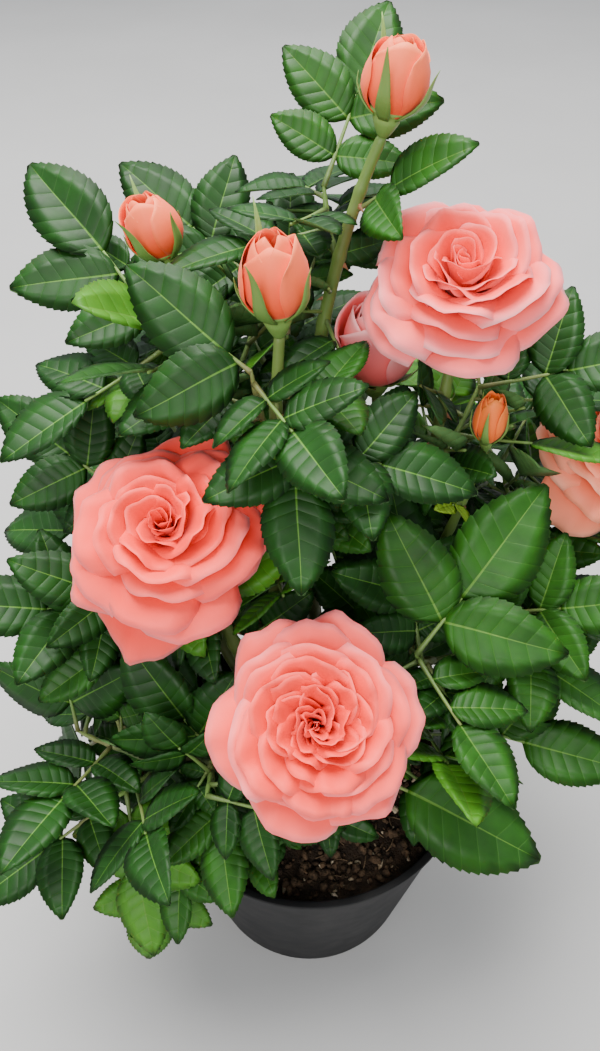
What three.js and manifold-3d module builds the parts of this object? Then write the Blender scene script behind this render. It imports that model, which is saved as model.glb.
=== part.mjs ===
/**
 * Potted rose bush with open blooms and buds, in millimetres, +Z up.
 * The origin is the centre of the pot's flat underside, and -Y is the front of the plant.
 * Every cane, shoot, bough, bloom, bud and mass of leaves is one closed solid. A solid that
 * grows from another one starts a small clearance away from it.
 */
import * as THREE from 'three';
import { mergeVertices } from 'three/addons/utils/BufferGeometryUtils.js';
import Module from 'manifold-3d';

// Clearance between a solid and the solid that carries it, and the least detail of fused solids
const CLEARANCE = 0.3;
const FUSE_TOLERANCE = 0.08;
const SEAT_ROUNDS = 3;
const SEAT_SEARCH = 4;

// Pot: a thin plastic wall with a rounded lip, and drain holes near the edge of its base
const POT_HEIGHT = 95;
const POT_RIM_RADIUS = 60;
const POT_BASE_RADIUS = 44;
const POT_WALL = 1.5;
const POT_FLOOR = 2.5;
const POT_LIP_WIDTH = 2.6;
const POT_LIP_HEIGHT = 3.5;
const POT_LIP_ROUND = 0.8;
const POT_SIDES = 32;
const DRAIN_COUNT = 6;
const DRAIN_RADIUS = 4;
const DRAIN_CIRCLE = 30;
const DRAIN_SIDES = 8;
const SOIL_TOP = 87;

// Canes, shoots and boughs taper from their foot to their tip, and flare at the soil
const CANE_RADII = [3.4, 1.6];
const SHOOT_RADII = [1.9, 1.3];
const BOUGH_RADII = [2.4, 1.5];
const FLARE_RADIUS = 1.5;
const FLARE_SHARE = 0.05;
const LIMB_SIDES = 6;
const LIMB_STEPS = 6;
// A side limb first runs outward and then turns up: its bend's share of the way out and up
const BEND_OUT = 0.68;
const BEND_UP = 0.4;
// Least slants that a side limb's start is worked out for
const LEAST_SQUARE = 0.2;
const LEAST_SLOPE = 0.3;

// Compound leaf, as shares of its end leaflet's length
const PETIOLE = 0.3;
const PAIR_STEP = 0.36;
const END_STEP = 0.2;
const LEAF_PAIRS = 2;
const SIZE_RANGE = [0.85, 1.1];
const PAIR_SIZES = [0.88, 0.7];
const PAIR_ANGLES = [63, 78].map(THREE.MathUtils.degToRad);
const PAIR_LIFT = 0.16;
const LEAFLET_WIDTH = 0.31;
const LEAFLET_FOLD = 0.16;
const LEAFLET_DROOP = 0.07;
const MEAN_DROOP = 0.3;
const LEAFLET_THICKNESS = 0.03;
const LEAFLET_WIDEST = 0.42;
const RACHIS_WIDTH = 0.8;
const RACHIS_DEPTH = 1.2;
const ROOT_LENGTH = 1.8;

// Twigs of a mass of leaves
const TWIG_RADII = [1.4, 0.9];
const TWIG_SIDES = 3;
const TWIG_STEPS = 3;
const SIDE_TWIG_RADII = [1, 0.9];
const SIDE_TWIG_AT = 0.5;
const SIDE_TWIG_SHARE = 0.5;
const SIDE_TWIG_TURN = 1;
const SIDE_TWIG_AHEAD = 0.6;
const SIDE_TWIG_ASIDE = 0.8;
const SIDE_TWIG_RISE = 0.2;
const SIDE_TWIG_SAG = 0.08;
const SEED_STEP = 7919;
// Leaves sit at shares of their twig's length: the lead leaf, the next one, and the span below it
const LEAD_AT = 0.97;
const FIRST_LEAF_AT = 0.85;
const LEAF_SPAN = 0.62;
const SIDE_LEAF_AT = 0.65;
const LEAF_TURN = THREE.MathUtils.degToRad(137.5);
const LEAF_RISE = 0.36;
const RETRY_TURNS = [0, 26, -26, 52, -52].map(THREE.MathUtils.degToRad);
const RETRY_LIFTS = [0, 0.35, -0.35];
// Leaves turn their upper side to the light and away from the middle of the crown
const LIGHT = [0, -0.3, 0.75];
const FACE_SWAY = [-0.2, 0.2];
const FACE_OUT = 0.4;
const CROWN_MIDDLE = 20;
// A mass keeps its leaflets within this many leaflet lengths of its stem
const SPRAY_REACH = 1.9;

// Room that a new leaf or twig keeps to what is already there
const BLADE_ROOM = 2.1;
const ROD_ROOM = 1.5;
const RACHIS_ROOM = 1.3;
const DOME_ROOM = 2.5;
const LOWEST_LEAF = 38;
const BLADE_EDGE_POINTS = 8;
const ROD_SAMPLES = [0.15, 0.4, 0.65, 0.9, 1];
const LIMB_RODS = 14;
const HIP_RADIUS = 6;
// A bud's room: shares of its length from and to, and the radius as a share of its width
const BUD_RODS = [[0, 0.3, 0.3], [0.3, 0.75, 0.52], [0.75, 1, 0.4]];

/**
 * Blooms and buds. The centre is the middle of the head, the axis runs from its hip to its
 * top, and the width is across the petals.
 */
const HEADS = [
  { name: 'bloom_right', centre: [43, 52, 265], axis: [-0.1, -0.38, 0.92], width: 62, turn: 0.93 },
  { name: 'bloom_left', centre: [-44, 6, 209], axis: [-0.06, -0.44, 0.9], width: 64, turn: 1.1 },
  { name: 'bloom_front', centre: [1, -39, 175], axis: [0, -0.55, 0.84], width: 64, turn: 2.0 },
  { name: 'bloom_far_right', centre: [104, 60, 198], axis: [0.34, -0.3, 0.89], width: 54, turn: 0.7 },
  { name: 'bud_half_open', centre: [21, 67, 232], axis: [-0.05, -0.12, 0.99], width: 27, length: 37 },
  { name: 'bud_top', centre: [21.4, 74, 311], axis: [0.16, 0.02, 0.98], width: 19, length: 25 },
  { name: 'bud_left', centre: [-48, 72, 270], axis: [-0.3, 0, 0.95], width: 18, length: 25 },
  { name: 'bud_centre', centre: [-11, 35, 273], axis: [-0.07, -0.06, 0.99], width: 20, length: 31 },
  { name: 'bud_small', centre: [56, 41, 222], axis: [-0.02, 0, 1], width: 11, length: 22 },
];

/** Canes that rise from the soil, each to the head that it carries. */
const CANES = [
  { name: 'cane_top_bud', foot: [9, 13], bend: [-16, 68, 212], head: 'bud_top' },
  { name: 'cane_centre_bud', foot: [-8, 9], bend: [-16, 24, 170], head: 'bud_centre' },
  { name: 'cane_left_bloom', foot: [-12, -6], bend: [-16, -4, 150], head: 'bloom_left' },
  { name: 'cane_front_bloom', foot: [2, -14], bend: [2, -8, 128], head: 'bloom_front' },
  { name: 'cane_right_bloom', foot: [14, 0], bend: [38, 36, 160], head: 'bloom_right' },
];

/** Shoots that leave a limb at a share of its length, each to the head that it carries. */
const SHOOTS = [
  { name: 'shoot_left_bud', limb: 'cane_centre_bud', at: 0.52, head: 'bud_left' },
  { name: 'shoot_half_open_bud', limb: 'cane_right_bloom', at: 0.5, head: 'bud_half_open' },
  { name: 'shoot_small_bud', limb: 'cane_right_bloom', at: 0.38, head: 'bud_small' },
  { name: 'shoot_far_right_bloom', limb: 'cane_right_bloom', at: 0.2, head: 'bloom_far_right' },
];

/** Boughs that carry only leaves. */
const BOUGHS = [
  { name: 'bough_left', limb: 'cane_left_bloom', at: 0.36, tip: [-45, 30, 168] },
  { name: 'bough_left_low', limb: 'cane_left_bloom', at: 0.16, tip: [-58, -14, 112] },
  { name: 'bough_front_left', limb: 'cane_front_bloom', at: 0.1, tip: [-30, -34, 106] },
  { name: 'bough_right', limb: 'cane_right_bloom', at: 0.3, tip: [42, 2, 150] },
  { name: 'bough_right_low', limb: 'cane_front_bloom', at: 0.2, tip: [30, -13, 117] },
  { name: 'bough_back_left', limb: 'cane_centre_bud', at: 0.22, tip: [-36, 62, 162] },
  { name: 'bough_back', limb: 'cane_top_bud', at: 0.34, tip: [-10, 72, 200] },
  { name: 'bough_back_right', limb: 'cane_top_bud', at: 0.18, tip: [44, 66, 160] },
];

/**
 * Masses of leaves. Each grows from a share of a limb's length to its tip, where its lead
 * leaf runs along aim with its upper side to face. Size is the end leaflet's length, leaves
 * is how many its stem bears besides the lead leaf, and twigs is how many side twigs it has.
 * A stalk below 1 shortens the lead leaf's rachis.
 */
const SPRAYS = [
  { name: 'leaves_top', limb: 'cane_top_bud', at: 0.8, tip: [3, 77, 283], size: 27, leaves: 4, twigs: 0,
    lead: { aim: [0.34, 0.62, 0.7], face: [0, -0.6, 0.8], size: 32, pairs: 2 } },
  { name: 'leaves_upper_left', limb: 'shoot_left_bud', at: 0.66, tip: [-46, 62, 240], size: 31, leaves: 2,
    twigs: 1, lead: { aim: [-0.6, 0.56, 0.56], face: [-0.1, -0.65, 0.75], size: 40, pairs: 2 } },
  { name: 'leaves_upper_back', limb: 'shoot_left_bud', at: 0.5, tip: [-16, 86, 246], size: 30, leaves: 2,
    twigs: 1, lead: { aim: [-0.77, 0.46, 0.46], face: [0, -0.65, 0.75], size: 35, pairs: 2 } },
  { name: 'leaves_centre_left', limb: 'cane_centre_bud', at: 0.8, tip: [-18, 29, 250], size: 31, leaves: 3,
    twigs: 0, lead: { aim: [-0.78, 0.32, 0.54], face: [-0.15, -0.75, 0.65], size: 38, pairs: 1, stalk: 0.4 } },
  { name: 'leaves_centre', limb: 'cane_centre_bud', at: 0.62, tip: [-5, 20, 239], size: 29, leaves: 3,
    twigs: 0, lead: { aim: [0, -0.84, -0.5], face: [0, -0.54, 0.84], size: 33, pairs: 1 } },
  { name: 'leaves_left_edge', limb: 'bough_left', at: 1, tip: [-60, 40, 188], size: 31, leaves: 3, twigs: 1,
    lead: { aim: [-0.8, 0.38, 0.47], face: [-0.2, -0.6, 0.75], size: 33, pairs: 2 } },
  { name: 'leaves_left', limb: 'bough_left', at: 0.6, tip: [-60, 10, 164], size: 31, leaves: 3, twigs: 1,
    lead: { aim: [-0.9, -0.15, 0.3], face: [-0.2, -0.45, 0.85], size: 33, pairs: 2 } },
  { name: 'leaves_left_mid', limb: 'bough_left_low', at: 1, tip: [-84, -8, 122], size: 31, leaves: 3,
    twigs: 0, lead: { aim: [-0.15, 0.45, 0.85], face: [-0.25, -0.8, 0.5], size: 37, pairs: 1 } },
  { name: 'leaves_left_inner', limb: 'bough_left_low', at: 0.5, tip: [-32, -26, 134], size: 31, leaves: 2,
    twigs: 0, lead: { aim: [-0.54, 0.35, 0.75], face: [-0.3, -0.75, 0.6], size: 34, pairs: 1 } },
  { name: 'leaves_left_low', limb: 'bough_left_low', at: 0.76, tip: [-70, -30, 112], size: 29, leaves: 3,
    twigs: 1, lead: { aim: [-0.7, -0.5, -0.2], face: [-0.3, -0.45, 0.84], size: 30, pairs: 2 } },
  { name: 'leaves_front_left', limb: 'bough_front_left', at: 1, tip: [-54, -38, 99], size: 26, leaves: 4,
    twigs: 1, lead: { aim: [-0.1, -0.5, -0.85], face: [-0.1, -0.85, 0.5], size: 28, pairs: 2 } },
  { name: 'leaves_front', limb: 'bough_front_left', at: 0.5, tip: [-4, -30, 112], size: 15, leaves: 3,
    twigs: 0, lead: { aim: [0.8, -0.35, -0.1], face: [0, -0.55, 0.84], size: 16, pairs: 2 } },
  { name: 'leaves_right_front', limb: 'cane_front_bloom', at: 0.5, tip: [9, -22, 127], size: 30, leaves: 0,
    twigs: 0, lead: { aim: [0.9, -0.39, -0.16], face: [0.1, -0.5, 0.86], size: 50, pairs: 0, stalk: 3.6 } },
  { name: 'leaves_right', limb: 'bough_right', at: 1, tip: [33, -9, 168], size: 32, leaves: 2, twigs: 0,
    lead: { aim: [0.6, 0.46, 0.66], face: [-0.15, -0.8, 0.58], size: 45, pairs: 1 } },
  { name: 'leaves_right_upper', limb: 'cane_right_bloom', at: 0.7, tip: [56, 62, 222], size: 30, leaves: 3,
    twigs: 1, lead: { aim: [0.85, -0.2, 0.35], face: [0.1, -0.6, 0.8], size: 33, pairs: 2 } },
  { name: 'leaves_far_right', limb: 'shoot_far_right_bloom', at: 0.5, tip: [58, 14, 160], size: 31,
    leaves: 3, twigs: 1, lead: { aim: [0.85, -0.25, 0.4], face: [0.1, -0.6, 0.8], size: 31, pairs: 2 } },
  { name: 'leaves_far_right_back', limb: 'shoot_far_right_bloom', at: 0.7, tip: [70, 66, 186], size: 30,
    leaves: 3, twigs: 1, lead: { aim: [0.5, 0.75, 0.4], face: [0.1, -0.1, 0.95], size: 31, pairs: 2 } },
  { name: 'leaves_right_low', limb: 'bough_right_low', at: 1, tip: [44, -6, 128], size: 30, leaves: 3,
    twigs: 1, lead: { aim: [0.92, -0.3, -0.02], face: [0.1, -0.5, 0.86], size: 36, pairs: 2 } },
  { name: 'leaves_back_left', limb: 'bough_back_left', at: 1, tip: [-48, 74, 190], size: 32, leaves: 3,
    twigs: 1, lead: { aim: [-0.55, 0.7, 0.35], face: [-0.2, 0.1, 0.95], size: 34, pairs: 2 } },
  { name: 'leaves_back_left_low', limb: 'bough_back_left', at: 0.6, tip: [-52, 54, 134], size: 32,
    leaves: 3, twigs: 1, lead: { aim: [-0.75, 0.6, 0], face: [-0.3, 0.2, 0.9], size: 33, pairs: 2 } },
  { name: 'leaves_back', limb: 'bough_back', at: 1, tip: [-8, 78, 228], size: 32, leaves: 3, twigs: 1,
    lead: { aim: [0, 0.7, 0.6], face: [0, -0.2, 0.95], size: 34, pairs: 2 } },
  { name: 'leaves_back_low', limb: 'bough_back', at: 0.5, tip: [6, 70, 150], size: 32, leaves: 3, twigs: 1,
    lead: { aim: [0, 0.9, 0.1], face: [0, 0.3, 0.9], size: 34, pairs: 2 } },
  { name: 'leaves_back_right', limb: 'bough_back_right', at: 1, tip: [52, 80, 190], size: 32, leaves: 3,
    twigs: 1, lead: { aim: [0.45, 0.7, 0.4], face: [0.2, 0.1, 0.95], size: 34, pairs: 2 } },
  { name: 'leaves_back_right_low', limb: 'bough_back_right', at: 0.6, tip: [56, 54, 128], size: 32,
    leaves: 3, twigs: 1, lead: { aim: [0.8, 0.5, -0.1], face: [0.3, 0.2, 0.9], size: 33, pairs: 2 } },
];

// Open bloom, for a width of 64: its rings of petals, from the outermost to the innermost
const BLOOM_WIDTH = 64;
const BLOOM_FOOT = 21;
const BLOOM_CENTRE = 9;
const BLOOM_RINGS = [
  { petals: 5, length: 34, start: 0.5, end: 1.9, spread: 0.78 },
  { petals: 5, length: 30, start: 0.4, end: 1.3, spread: 0.78 },
  { petals: 4, length: 26, start: 0.2, end: 0.75, spread: 0.88 },
  { petals: 3, length: 22.5, start: 0.1, end: 0.36, spread: 1.0 },
];
const RING_TURN = 0.6;
const PETAL_ROOT = 3.5;
const PETAL_ROWS = [[0, 0.5], [0.62, 1], [1, 0.66]];
const PETAL_COLUMNS = [-1, -0.36, 0.36, 1];
const PETAL_THICKNESS = 1.6;
const PETAL_RIM_DIP = 0.08;
const PETAL_TUCK = 1.6;
const BLOOM_CORE = [[0, -12], [2.6, -11.8], [4, -7], [3.4, -3], [5, 2], [6.4, 12], [4.2, 18], [0, 20]];
const HEAD_SIDES = 10;
const DOME_RADIUS = 34;
const DOME_DEPTH = 15;

// Bud: shares of its half width at shares of its length, from its hip to its tip
const BUD_PROFILE = [[0, 0], [0.24, 0.01], [0.4, 0.1], [0.3, 0.21], [0.8, 0.36], [1, 0.52], [0.86, 0.76],
  [0.42, 0.94], [0, 1]];
const SEPAL_REACH = [0.3, 0.6];
const SEPAL_FLARE = 1.22;

const UP = new THREE.Vector3(0, 0, 1);
const ORIGIN = new THREE.Vector3(0, 0, 0);
const wasm = await Module();
wasm.setup();

/** Makes a vector from three numbers. */
function vec([x, y, z]) {
  return new THREE.Vector3(x, y, z);
}

/** Makes a unit vector from three numbers. */
function unit(numbers) {
  return vec(numbers).normalize();
}

/** Adds lengths along directions to a point: along(p, u, 2, v, 3) is p + 2u + 3v. */
function along(point, ...steps) {
  const place = point.clone();
  for (let i = 0; i < steps.length; i += 2) place.addScaledVector(steps[i], steps[i + 1]);
  return place;
}

/** Returns the unit part of a vector that is square to an axis. */
function squareTo(vector, axis) {
  return along(vector, axis, -vector.dot(axis)).normalize();
}

/** Repeatable random numbers from 0 to 1. */
class Seeded {
  constructor(seed) {
    this.state = seed >>> 0;
  }

  next() {
    this.state = (Math.imul(this.state, 1664525) + 1013904223) >>> 0;
    return this.state / 4294967296;
  }

  /** Returns a number between two limits. */
  between(low, high) {
    return low + (high - low) * this.next();
  }
}

/** A tapering limb along a curve with one bend. */
class Limb {
  constructor(name, start, bend, tip, radii, flare = 0) {
    Object.assign(this, { name, start, bend, tip, radii, flare });
  }

  point(t) {
    const low = this.start.clone().lerp(this.bend, t);
    return low.lerp(this.bend.clone().lerp(this.tip, t), t);
  }

  tangent(t) {
    const low = this.bend.clone().sub(this.start);
    return low.lerp(this.tip.clone().sub(this.bend), t).normalize();
  }

  radius(t) {
    return THREE.MathUtils.lerp(...this.radii, t) + this.flare * Math.exp(-t / FLARE_SHARE);
  }

  /** Returns the direction square to the plane that the curve lies in. */
  across() {
    const cross = this.bend.clone().sub(this.start).cross(this.tip.clone().sub(this.start));
    return cross.length() > 1e-3 ? cross.normalize() : squareTo(vec([1, 0, 0]), this.tangent(0));
  }

  /** Returns the limb as straight rods, for keeping leaves clear of it. */
  rods(steps, owner) {
    return Array.from({ length: steps }, (_, i) => ({
      from: this.point(i / steps),
      to: this.point((i + 1) / steps),
      radius: this.radius(i / steps),
      owner,
    }));
  }
}

/** Returns a geometry that holds only merged positions, so that it is one closed surface. */
function bare(geometry) {
  geometry.deleteAttribute('uv');
  geometry.deleteAttribute('normal');
  return mergeVertices(geometry);
}

/** Makes a geometry from a list of points and a list of triangles. */
function faceted(points, triangles) {
  const geometry = new THREE.BufferGeometry().setFromPoints(points);
  return geometry.setIndex(triangles.flat());
}

/** Wraps a closed geometry as a solid for cutting and joining. */
function toSolid(geometry) {
  const vertProperties = Float32Array.from(geometry.attributes.position.array);
  const triVerts = Uint32Array.from(geometry.index.array);
  return new wasm.Manifold(new wasm.Mesh({ numProp: 3, vertProperties, triVerts }));
}

/** Joins closed geometries into one body, with sealed hollows filled and loose scraps dropped. */
function fuse(geometries) {
  const bodies = wasm.Manifold.union(geometries.map(toSolid)).simplify(FUSE_TOLERANCE).decompose();
  const largest = bodies.reduce((best, body) => (body.volume() > best.volume() ? body : best));
  const mesh = largest.getMesh();
  const geometry = new THREE.BufferGeometry();
  geometry.setAttribute('position', new THREE.BufferAttribute(mesh.vertProperties, 3));
  return geometry.setIndex(new THREE.BufferAttribute(mesh.triVerts, 1));
}

/** Bends a cylinder along a limb. A foot level cuts the lower end flat at that height. */
function limbGeometry(limb, sides, steps, footLevel = null) {
  const geometry = bare(new THREE.CylinderGeometry(1, 1, 1, sides, steps));
  const { position } = geometry.attributes;
  const across = limb.across();
  for (let i = 0; i < position.count; i += 1) {
    const t = position.getY(i) + 0.5;
    const tangent = limb.tangent(t);
    const outward = tangent.clone().cross(across);
    const radius = limb.radius(t);
    const place = along(limb.point(t), outward, position.getX(i) * radius, across, position.getZ(i) * radius);
    if (t < 1e-6 && footLevel !== null) {
      place.addScaledVector(tangent, (footLevel - place.z) / tangent.z).setZ(footLevel);
    }
    position.setXYZ(i, place.x, place.y, place.z);
  }
  return geometry;
}

/** Revolves a closed profile of radius and height pairs about +Z. */
function latheGeometry(profile, sides) {
  const points = profile.map(([radius, height]) => new THREE.Vector2(radius, height));
  return bare(new THREE.LatheGeometry(points, sides).rotateX(Math.PI / 2));
}

/** Names a geometry and gives it its material. */
function part(name, geometry, material) {
  const mesh = new THREE.Mesh(geometry, material);
  mesh.name = name;
  return mesh;
}

/** Makes a plain material from a colour and a roughness. */
function finish(color, roughness) {
  return new THREE.MeshStandardMaterial({ color, roughness, metalness: 0 });
}

const FINISHES = {
  pot: finish(0x2b2d30, 0.45),
  soil: finish(0x2a1d15, 1),
  cane: finish(0x5d7a34, 0.6),
  petal: finish(0xf28478, 0.6),
  bud: finish(0xee8460, 0.6),
  leaf: finish(0x1f5a2b, 0.45),
};

/** Returns the pot's outer radius at a height. */
function potRadius(height) {
  const top = POT_RIM_RADIUS - POT_LIP_WIDTH + POT_WALL;
  return THREE.MathUtils.lerp(POT_BASE_RADIUS, top, height / POT_HEIGHT);
}

/** Makes the pot with its lip and drain holes. */
function potGeometry() {
  const lipFoot = POT_HEIGHT - POT_LIP_HEIGHT;
  const inner = (height) => potRadius(height) - POT_WALL;
  const shell = latheGeometry([
    [0, 0],
    [potRadius(0), 0],
    [potRadius(lipFoot), lipFoot],
    [POT_RIM_RADIUS, lipFoot + POT_LIP_ROUND],
    [POT_RIM_RADIUS, POT_HEIGHT - POT_LIP_ROUND],
    [POT_RIM_RADIUS - POT_LIP_ROUND, POT_HEIGHT],
    [inner(POT_HEIGHT), POT_HEIGHT],
    [inner(POT_FLOOR), POT_FLOOR],
    [0, POT_FLOOR],
  ], POT_SIDES);
  let pot = toSolid(shell);
  for (let i = 0; i < DRAIN_COUNT; i += 1) {
    const angle = (i / DRAIN_COUNT) * 2 * Math.PI;
    const drill = new THREE.CylinderGeometry(DRAIN_RADIUS, DRAIN_RADIUS, 4 * POT_FLOOR, DRAIN_SIDES);
    const [x, y] = [DRAIN_CIRCLE * Math.cos(angle), DRAIN_CIRCLE * Math.sin(angle)];
    drill.rotateX(Math.PI / 2).translate(x, y, POT_FLOOR / 2);
    pot = pot.subtract(toSolid(bare(drill)));
  }
  const mesh = pot.getMesh();
  const geometry = new THREE.BufferGeometry();
  geometry.setAttribute('position', new THREE.BufferAttribute(mesh.vertProperties, 3));
  return geometry.setIndex(new THREE.BufferAttribute(mesh.triVerts, 1));
}

/** Makes the soil that fills the pot, clear of its wall. */
function soilGeometry() {
  const foot = POT_FLOOR + CLEARANCE;
  const inner = (height) => potRadius(height) - POT_WALL - CLEARANCE;
  const edge = [[inner(foot), foot], [inner(SOIL_TOP), SOIL_TOP]];
  return latheGeometry([[0, foot], ...edge, [0, SOIL_TOP]], POT_SIDES);
}

/** Returns a head with vectors in place of its number lists, and the foot that its limb meets. */
function readHead(head) {
  const isBloom = head.length === undefined;
  const axis = unit(head.axis);
  const centre = vec(head.centre);
  const scale = head.width / BLOOM_WIDTH;
  const foot = along(centre, axis, isBloom ? -BLOOM_FOOT * scale : -head.length / 2);
  return { ...head, isBloom, axis, centre, scale, foot };
}

/** Makes a matrix that stands a head's own shape, with its foot at zero, on its limb. */
function headMatrix(head) {
  const turn = new THREE.Quaternion().setFromUnitVectors(UP, head.axis);
  return new THREE.Matrix4().compose(head.foot, turn, new THREE.Vector3(1, 1, 1));
}

/** Returns the point of a petal at a share of its width and of its length. */
function petalPoint(ring, angle, across, share, widthShare) {
  const length = ring.length * (1 - PETAL_RIM_DIP * across * across * share);
  const curl = (ring.end - ring.start) / length;
  const lean = ring.start + curl * length * share;
  const out = (Math.cos(ring.start) - Math.cos(lean)) / curl;
  const rise = (Math.sin(lean) - Math.sin(ring.start)) / curl;
  const radius = PETAL_ROOT + out + PETAL_TUCK * across * share;
  const turn = angle + ring.spread * across * widthShare;
  return vec([radius * Math.cos(turn), radius * Math.sin(turn), rise]);
}

/** Makes one petal: a curved plate with a sharp rim, thicker inside it. */
function petalGeometry(ring, angle) {
  const front = [];
  for (const [share, widthShare] of PETAL_ROWS) {
    for (const across of PETAL_COLUMNS) front.push(petalPoint(ring, angle, across, share, widthShare));
  }
  const columns = PETAL_COLUMNS.length;
  const rows = PETAL_ROWS.length;
  const inside = (row, column) => row > 0 && row < rows - 1 && column > 0 && column < columns - 1;
  const back = new Map();
  const points = [...front];
  for (let row = 0; row < rows; row += 1) {
    for (let column = 0; column < columns; column += 1) {
      const index = row * columns + column;
      if (inside(row, column)) {
        const up = front[index + columns].clone().sub(front[index - columns]);
        const over = front[index + 1].clone().sub(front[index - 1]);
        points.push(along(front[index], over.cross(up).normalize(), PETAL_THICKNESS));
        back.set(index, points.length - 1);
      }
    }
  }
  const behind = (index) => back.get(index) ?? index;
  const triangles = [];
  for (let row = 0; row < rows - 1; row += 1) {
    for (let column = 0; column < columns - 1; column += 1) {
      const a = row * columns + column;
      const [b, c, d] = [a + 1, a + columns + 1, a + columns];
      triangles.push([a, c, b], [a, d, c]);
      triangles.push([behind(a), behind(b), behind(c)], [behind(a), behind(c), behind(d)]);
    }
  }
  return faceted(points, triangles);
}

/** Makes an open bloom: rings of petals round a core with the hip under it. */
function bloomGeometry(head) {
  const pieces = [latheGeometry(BLOOM_CORE, HEAD_SIDES)];
  for (const [level, ring] of BLOOM_RINGS.entries()) {
    for (let i = 0; i < ring.petals; i += 1) {
      pieces.push(petalGeometry(ring, head.turn + level * RING_TURN + (i / ring.petals) * 2 * Math.PI));
    }
  }
  const bloom = fuse(pieces).translate(0, 0, BLOOM_FOOT - BLOOM_CENTRE);
  return bloom.scale(head.scale, head.scale, head.scale).applyMatrix4(headMatrix(head));
}

/** Makes a closed bud on its hip, with the tips of its sepals standing out. */
function budGeometry(head) {
  const profile = BUD_PROFILE.map(([out, up]) => [(out * head.width) / 2, up * head.length]);
  const geometry = latheGeometry(profile, HEAD_SIDES);
  const { position } = geometry.attributes;
  for (let i = 0; i < position.count; i += 1) {
    const share = position.getZ(i) / head.length;
    const turn = Math.round((Math.atan2(position.getY(i), position.getX(i)) * HEAD_SIDES) / (2 * Math.PI));
    const isSepal = turn % 2 === 0 && share > SEPAL_REACH[0] && share < SEPAL_REACH[1];
    const flare = isSepal ? SEPAL_FLARE : 1;
    position.setXY(i, position.getX(i) * flare, position.getY(i) * flare);
  }
  return geometry.applyMatrix4(headMatrix(head));
}

/** A surface that grows point by point: a leaf's rachis with its leaflets. */
class LeafSurface {
  constructor() {
    Object.assign(this, { points: [], triangles: [] });
  }

  /** Adds a three-cornered ring of the rachis and returns its left, right and lower corners. */
  addRing(centre, aim, side, face) {
    const first = this.points.length;
    this.points.push(along(centre, side, RACHIS_WIDTH));
    this.points.push(along(centre, side, -RACHIS_WIDTH));
    this.points.push(along(centre, face, -RACHIS_DEPTH));
    return { left: first, right: first + 1, down: first + 2 };
  }

  /** Joins two rings. The sides from which a leaflet grows stay open. */
  addStretch(a, b, openLeft, openRight) {
    this.triangles.push([a.right, b.right, b.left], [a.right, b.left, a.left]);
    if (!openLeft) this.triangles.push([a.left, b.left, b.down], [a.left, b.down, a.down]);
    if (!openRight) this.triangles.push([b.right, a.right, a.down], [b.right, a.down, b.down]);
  }

  /** Grows a folded, drooping leaflet from an opening with upper and lower corners on each hand. */
  addBlade(blade, right, left) {
    const { base, aim, side, face, length, halfWidth } = blade;
    const place = (x, y, z) => along(base, aim, x * length, side, y * halfWidth, face, z);
    const droop = (x) => -x * x * length * LEAFLET_DROOP;
    const edge = droop(LEAFLET_WIDEST) + halfWidth * LEAFLET_FOLD;
    const half = (length * LEAFLET_THICKNESS) / 2;
    const first = this.points.length;
    const outline = [first, first + 1, first + 2];
    this.points.push(place(LEAFLET_WIDEST, -1, edge), place(1, 0, droop(1)), place(LEAFLET_WIDEST, 1, edge));
    this.points.push(place(LEAFLET_WIDEST, 0, droop(LEAFLET_WIDEST) + half));
    this.points.push(place(LEAFLET_WIDEST, 0, droop(LEAFLET_WIDEST) - half));
    const [top, bottom] = [first + 3, first + 4];
    const upper = [right.up, ...outline, left.up];
    const lower = right.down === left.down ? [right.down, ...outline] : [right.down, ...outline, left.down];
    upper.forEach((point, i) => this.triangles.push([point, upper[(i + 1) % upper.length], top]));
    lower.forEach((point, i) => this.triangles.push([lower[(i + 1) % lower.length], point, bottom]));
    this.triangles.push([outline[0], right.up, right.down], [left.up, outline[2], left.down]);
  }
}

/** Makes a compound leaf: a three-cornered rachis from which its leaflets grow. */
function leafGeometry({ node, aim, side, face, pairs, end, endBlade }) {
  const surface = new LeafSurface();
  const hand = (ring, which) => ({ up: ring[which], down: ring.down });
  const ringAt = (reach) => surface.addRing(along(node, aim, reach), aim, side, face);
  let last = ringAt(0);
  surface.triangles.push([last.right, last.left, last.down]);
  for (const { reach, left, right } of pairs) {
    const near = ringAt(reach - ROOT_LENGTH / 2);
    const far = ringAt(reach + ROOT_LENGTH / 2);
    surface.addStretch(last, near, false, false);
    surface.addStretch(near, far, left !== null, right !== null);
    if (left) surface.addBlade(left, hand(far, 'left'), hand(near, 'left'));
    if (right) surface.addBlade(right, hand(near, 'right'), hand(far, 'right'));
    last = far;
  }
  const tip = ringAt(end);
  surface.addStretch(last, tip, false, false);
  if (endBlade) surface.addBlade(endBlade, hand(tip, 'right'), hand(tip, 'left'));
  else surface.triangles.push([tip.left, tip.right, tip.down]);
  return faceted(surface.points, surface.triangles);
}

/** Returns where a side limb starts: its radius and the clearance away from its carrier. */
function branchStart(carrier, at, aim, radius) {
  const tangent = carrier.tangent(at);
  const slope = aim.dot(tangent);
  const square = Math.sqrt(Math.max(1 - slope * slope, LEAST_SQUARE ** 2));
  const offset = at === 1
    ? (CLEARANCE + radius * square) / Math.max(slope, LEAST_SLOPE)
    : (carrier.radius(at) + CLEARANCE + radius * Math.abs(slope)) / square;
  return along(carrier.point(at), aim, offset);
}

/** Returns a limb's tip: the clearance under a head, also where the limb comes in aslant. */
function tipUnder(head, bend, radius) {
  const slope = head.foot.clone().sub(bend).normalize().dot(head.axis);
  return along(head.foot, head.axis, -CLEARANCE - radius * Math.sqrt(1 - slope * slope));
}

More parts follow.
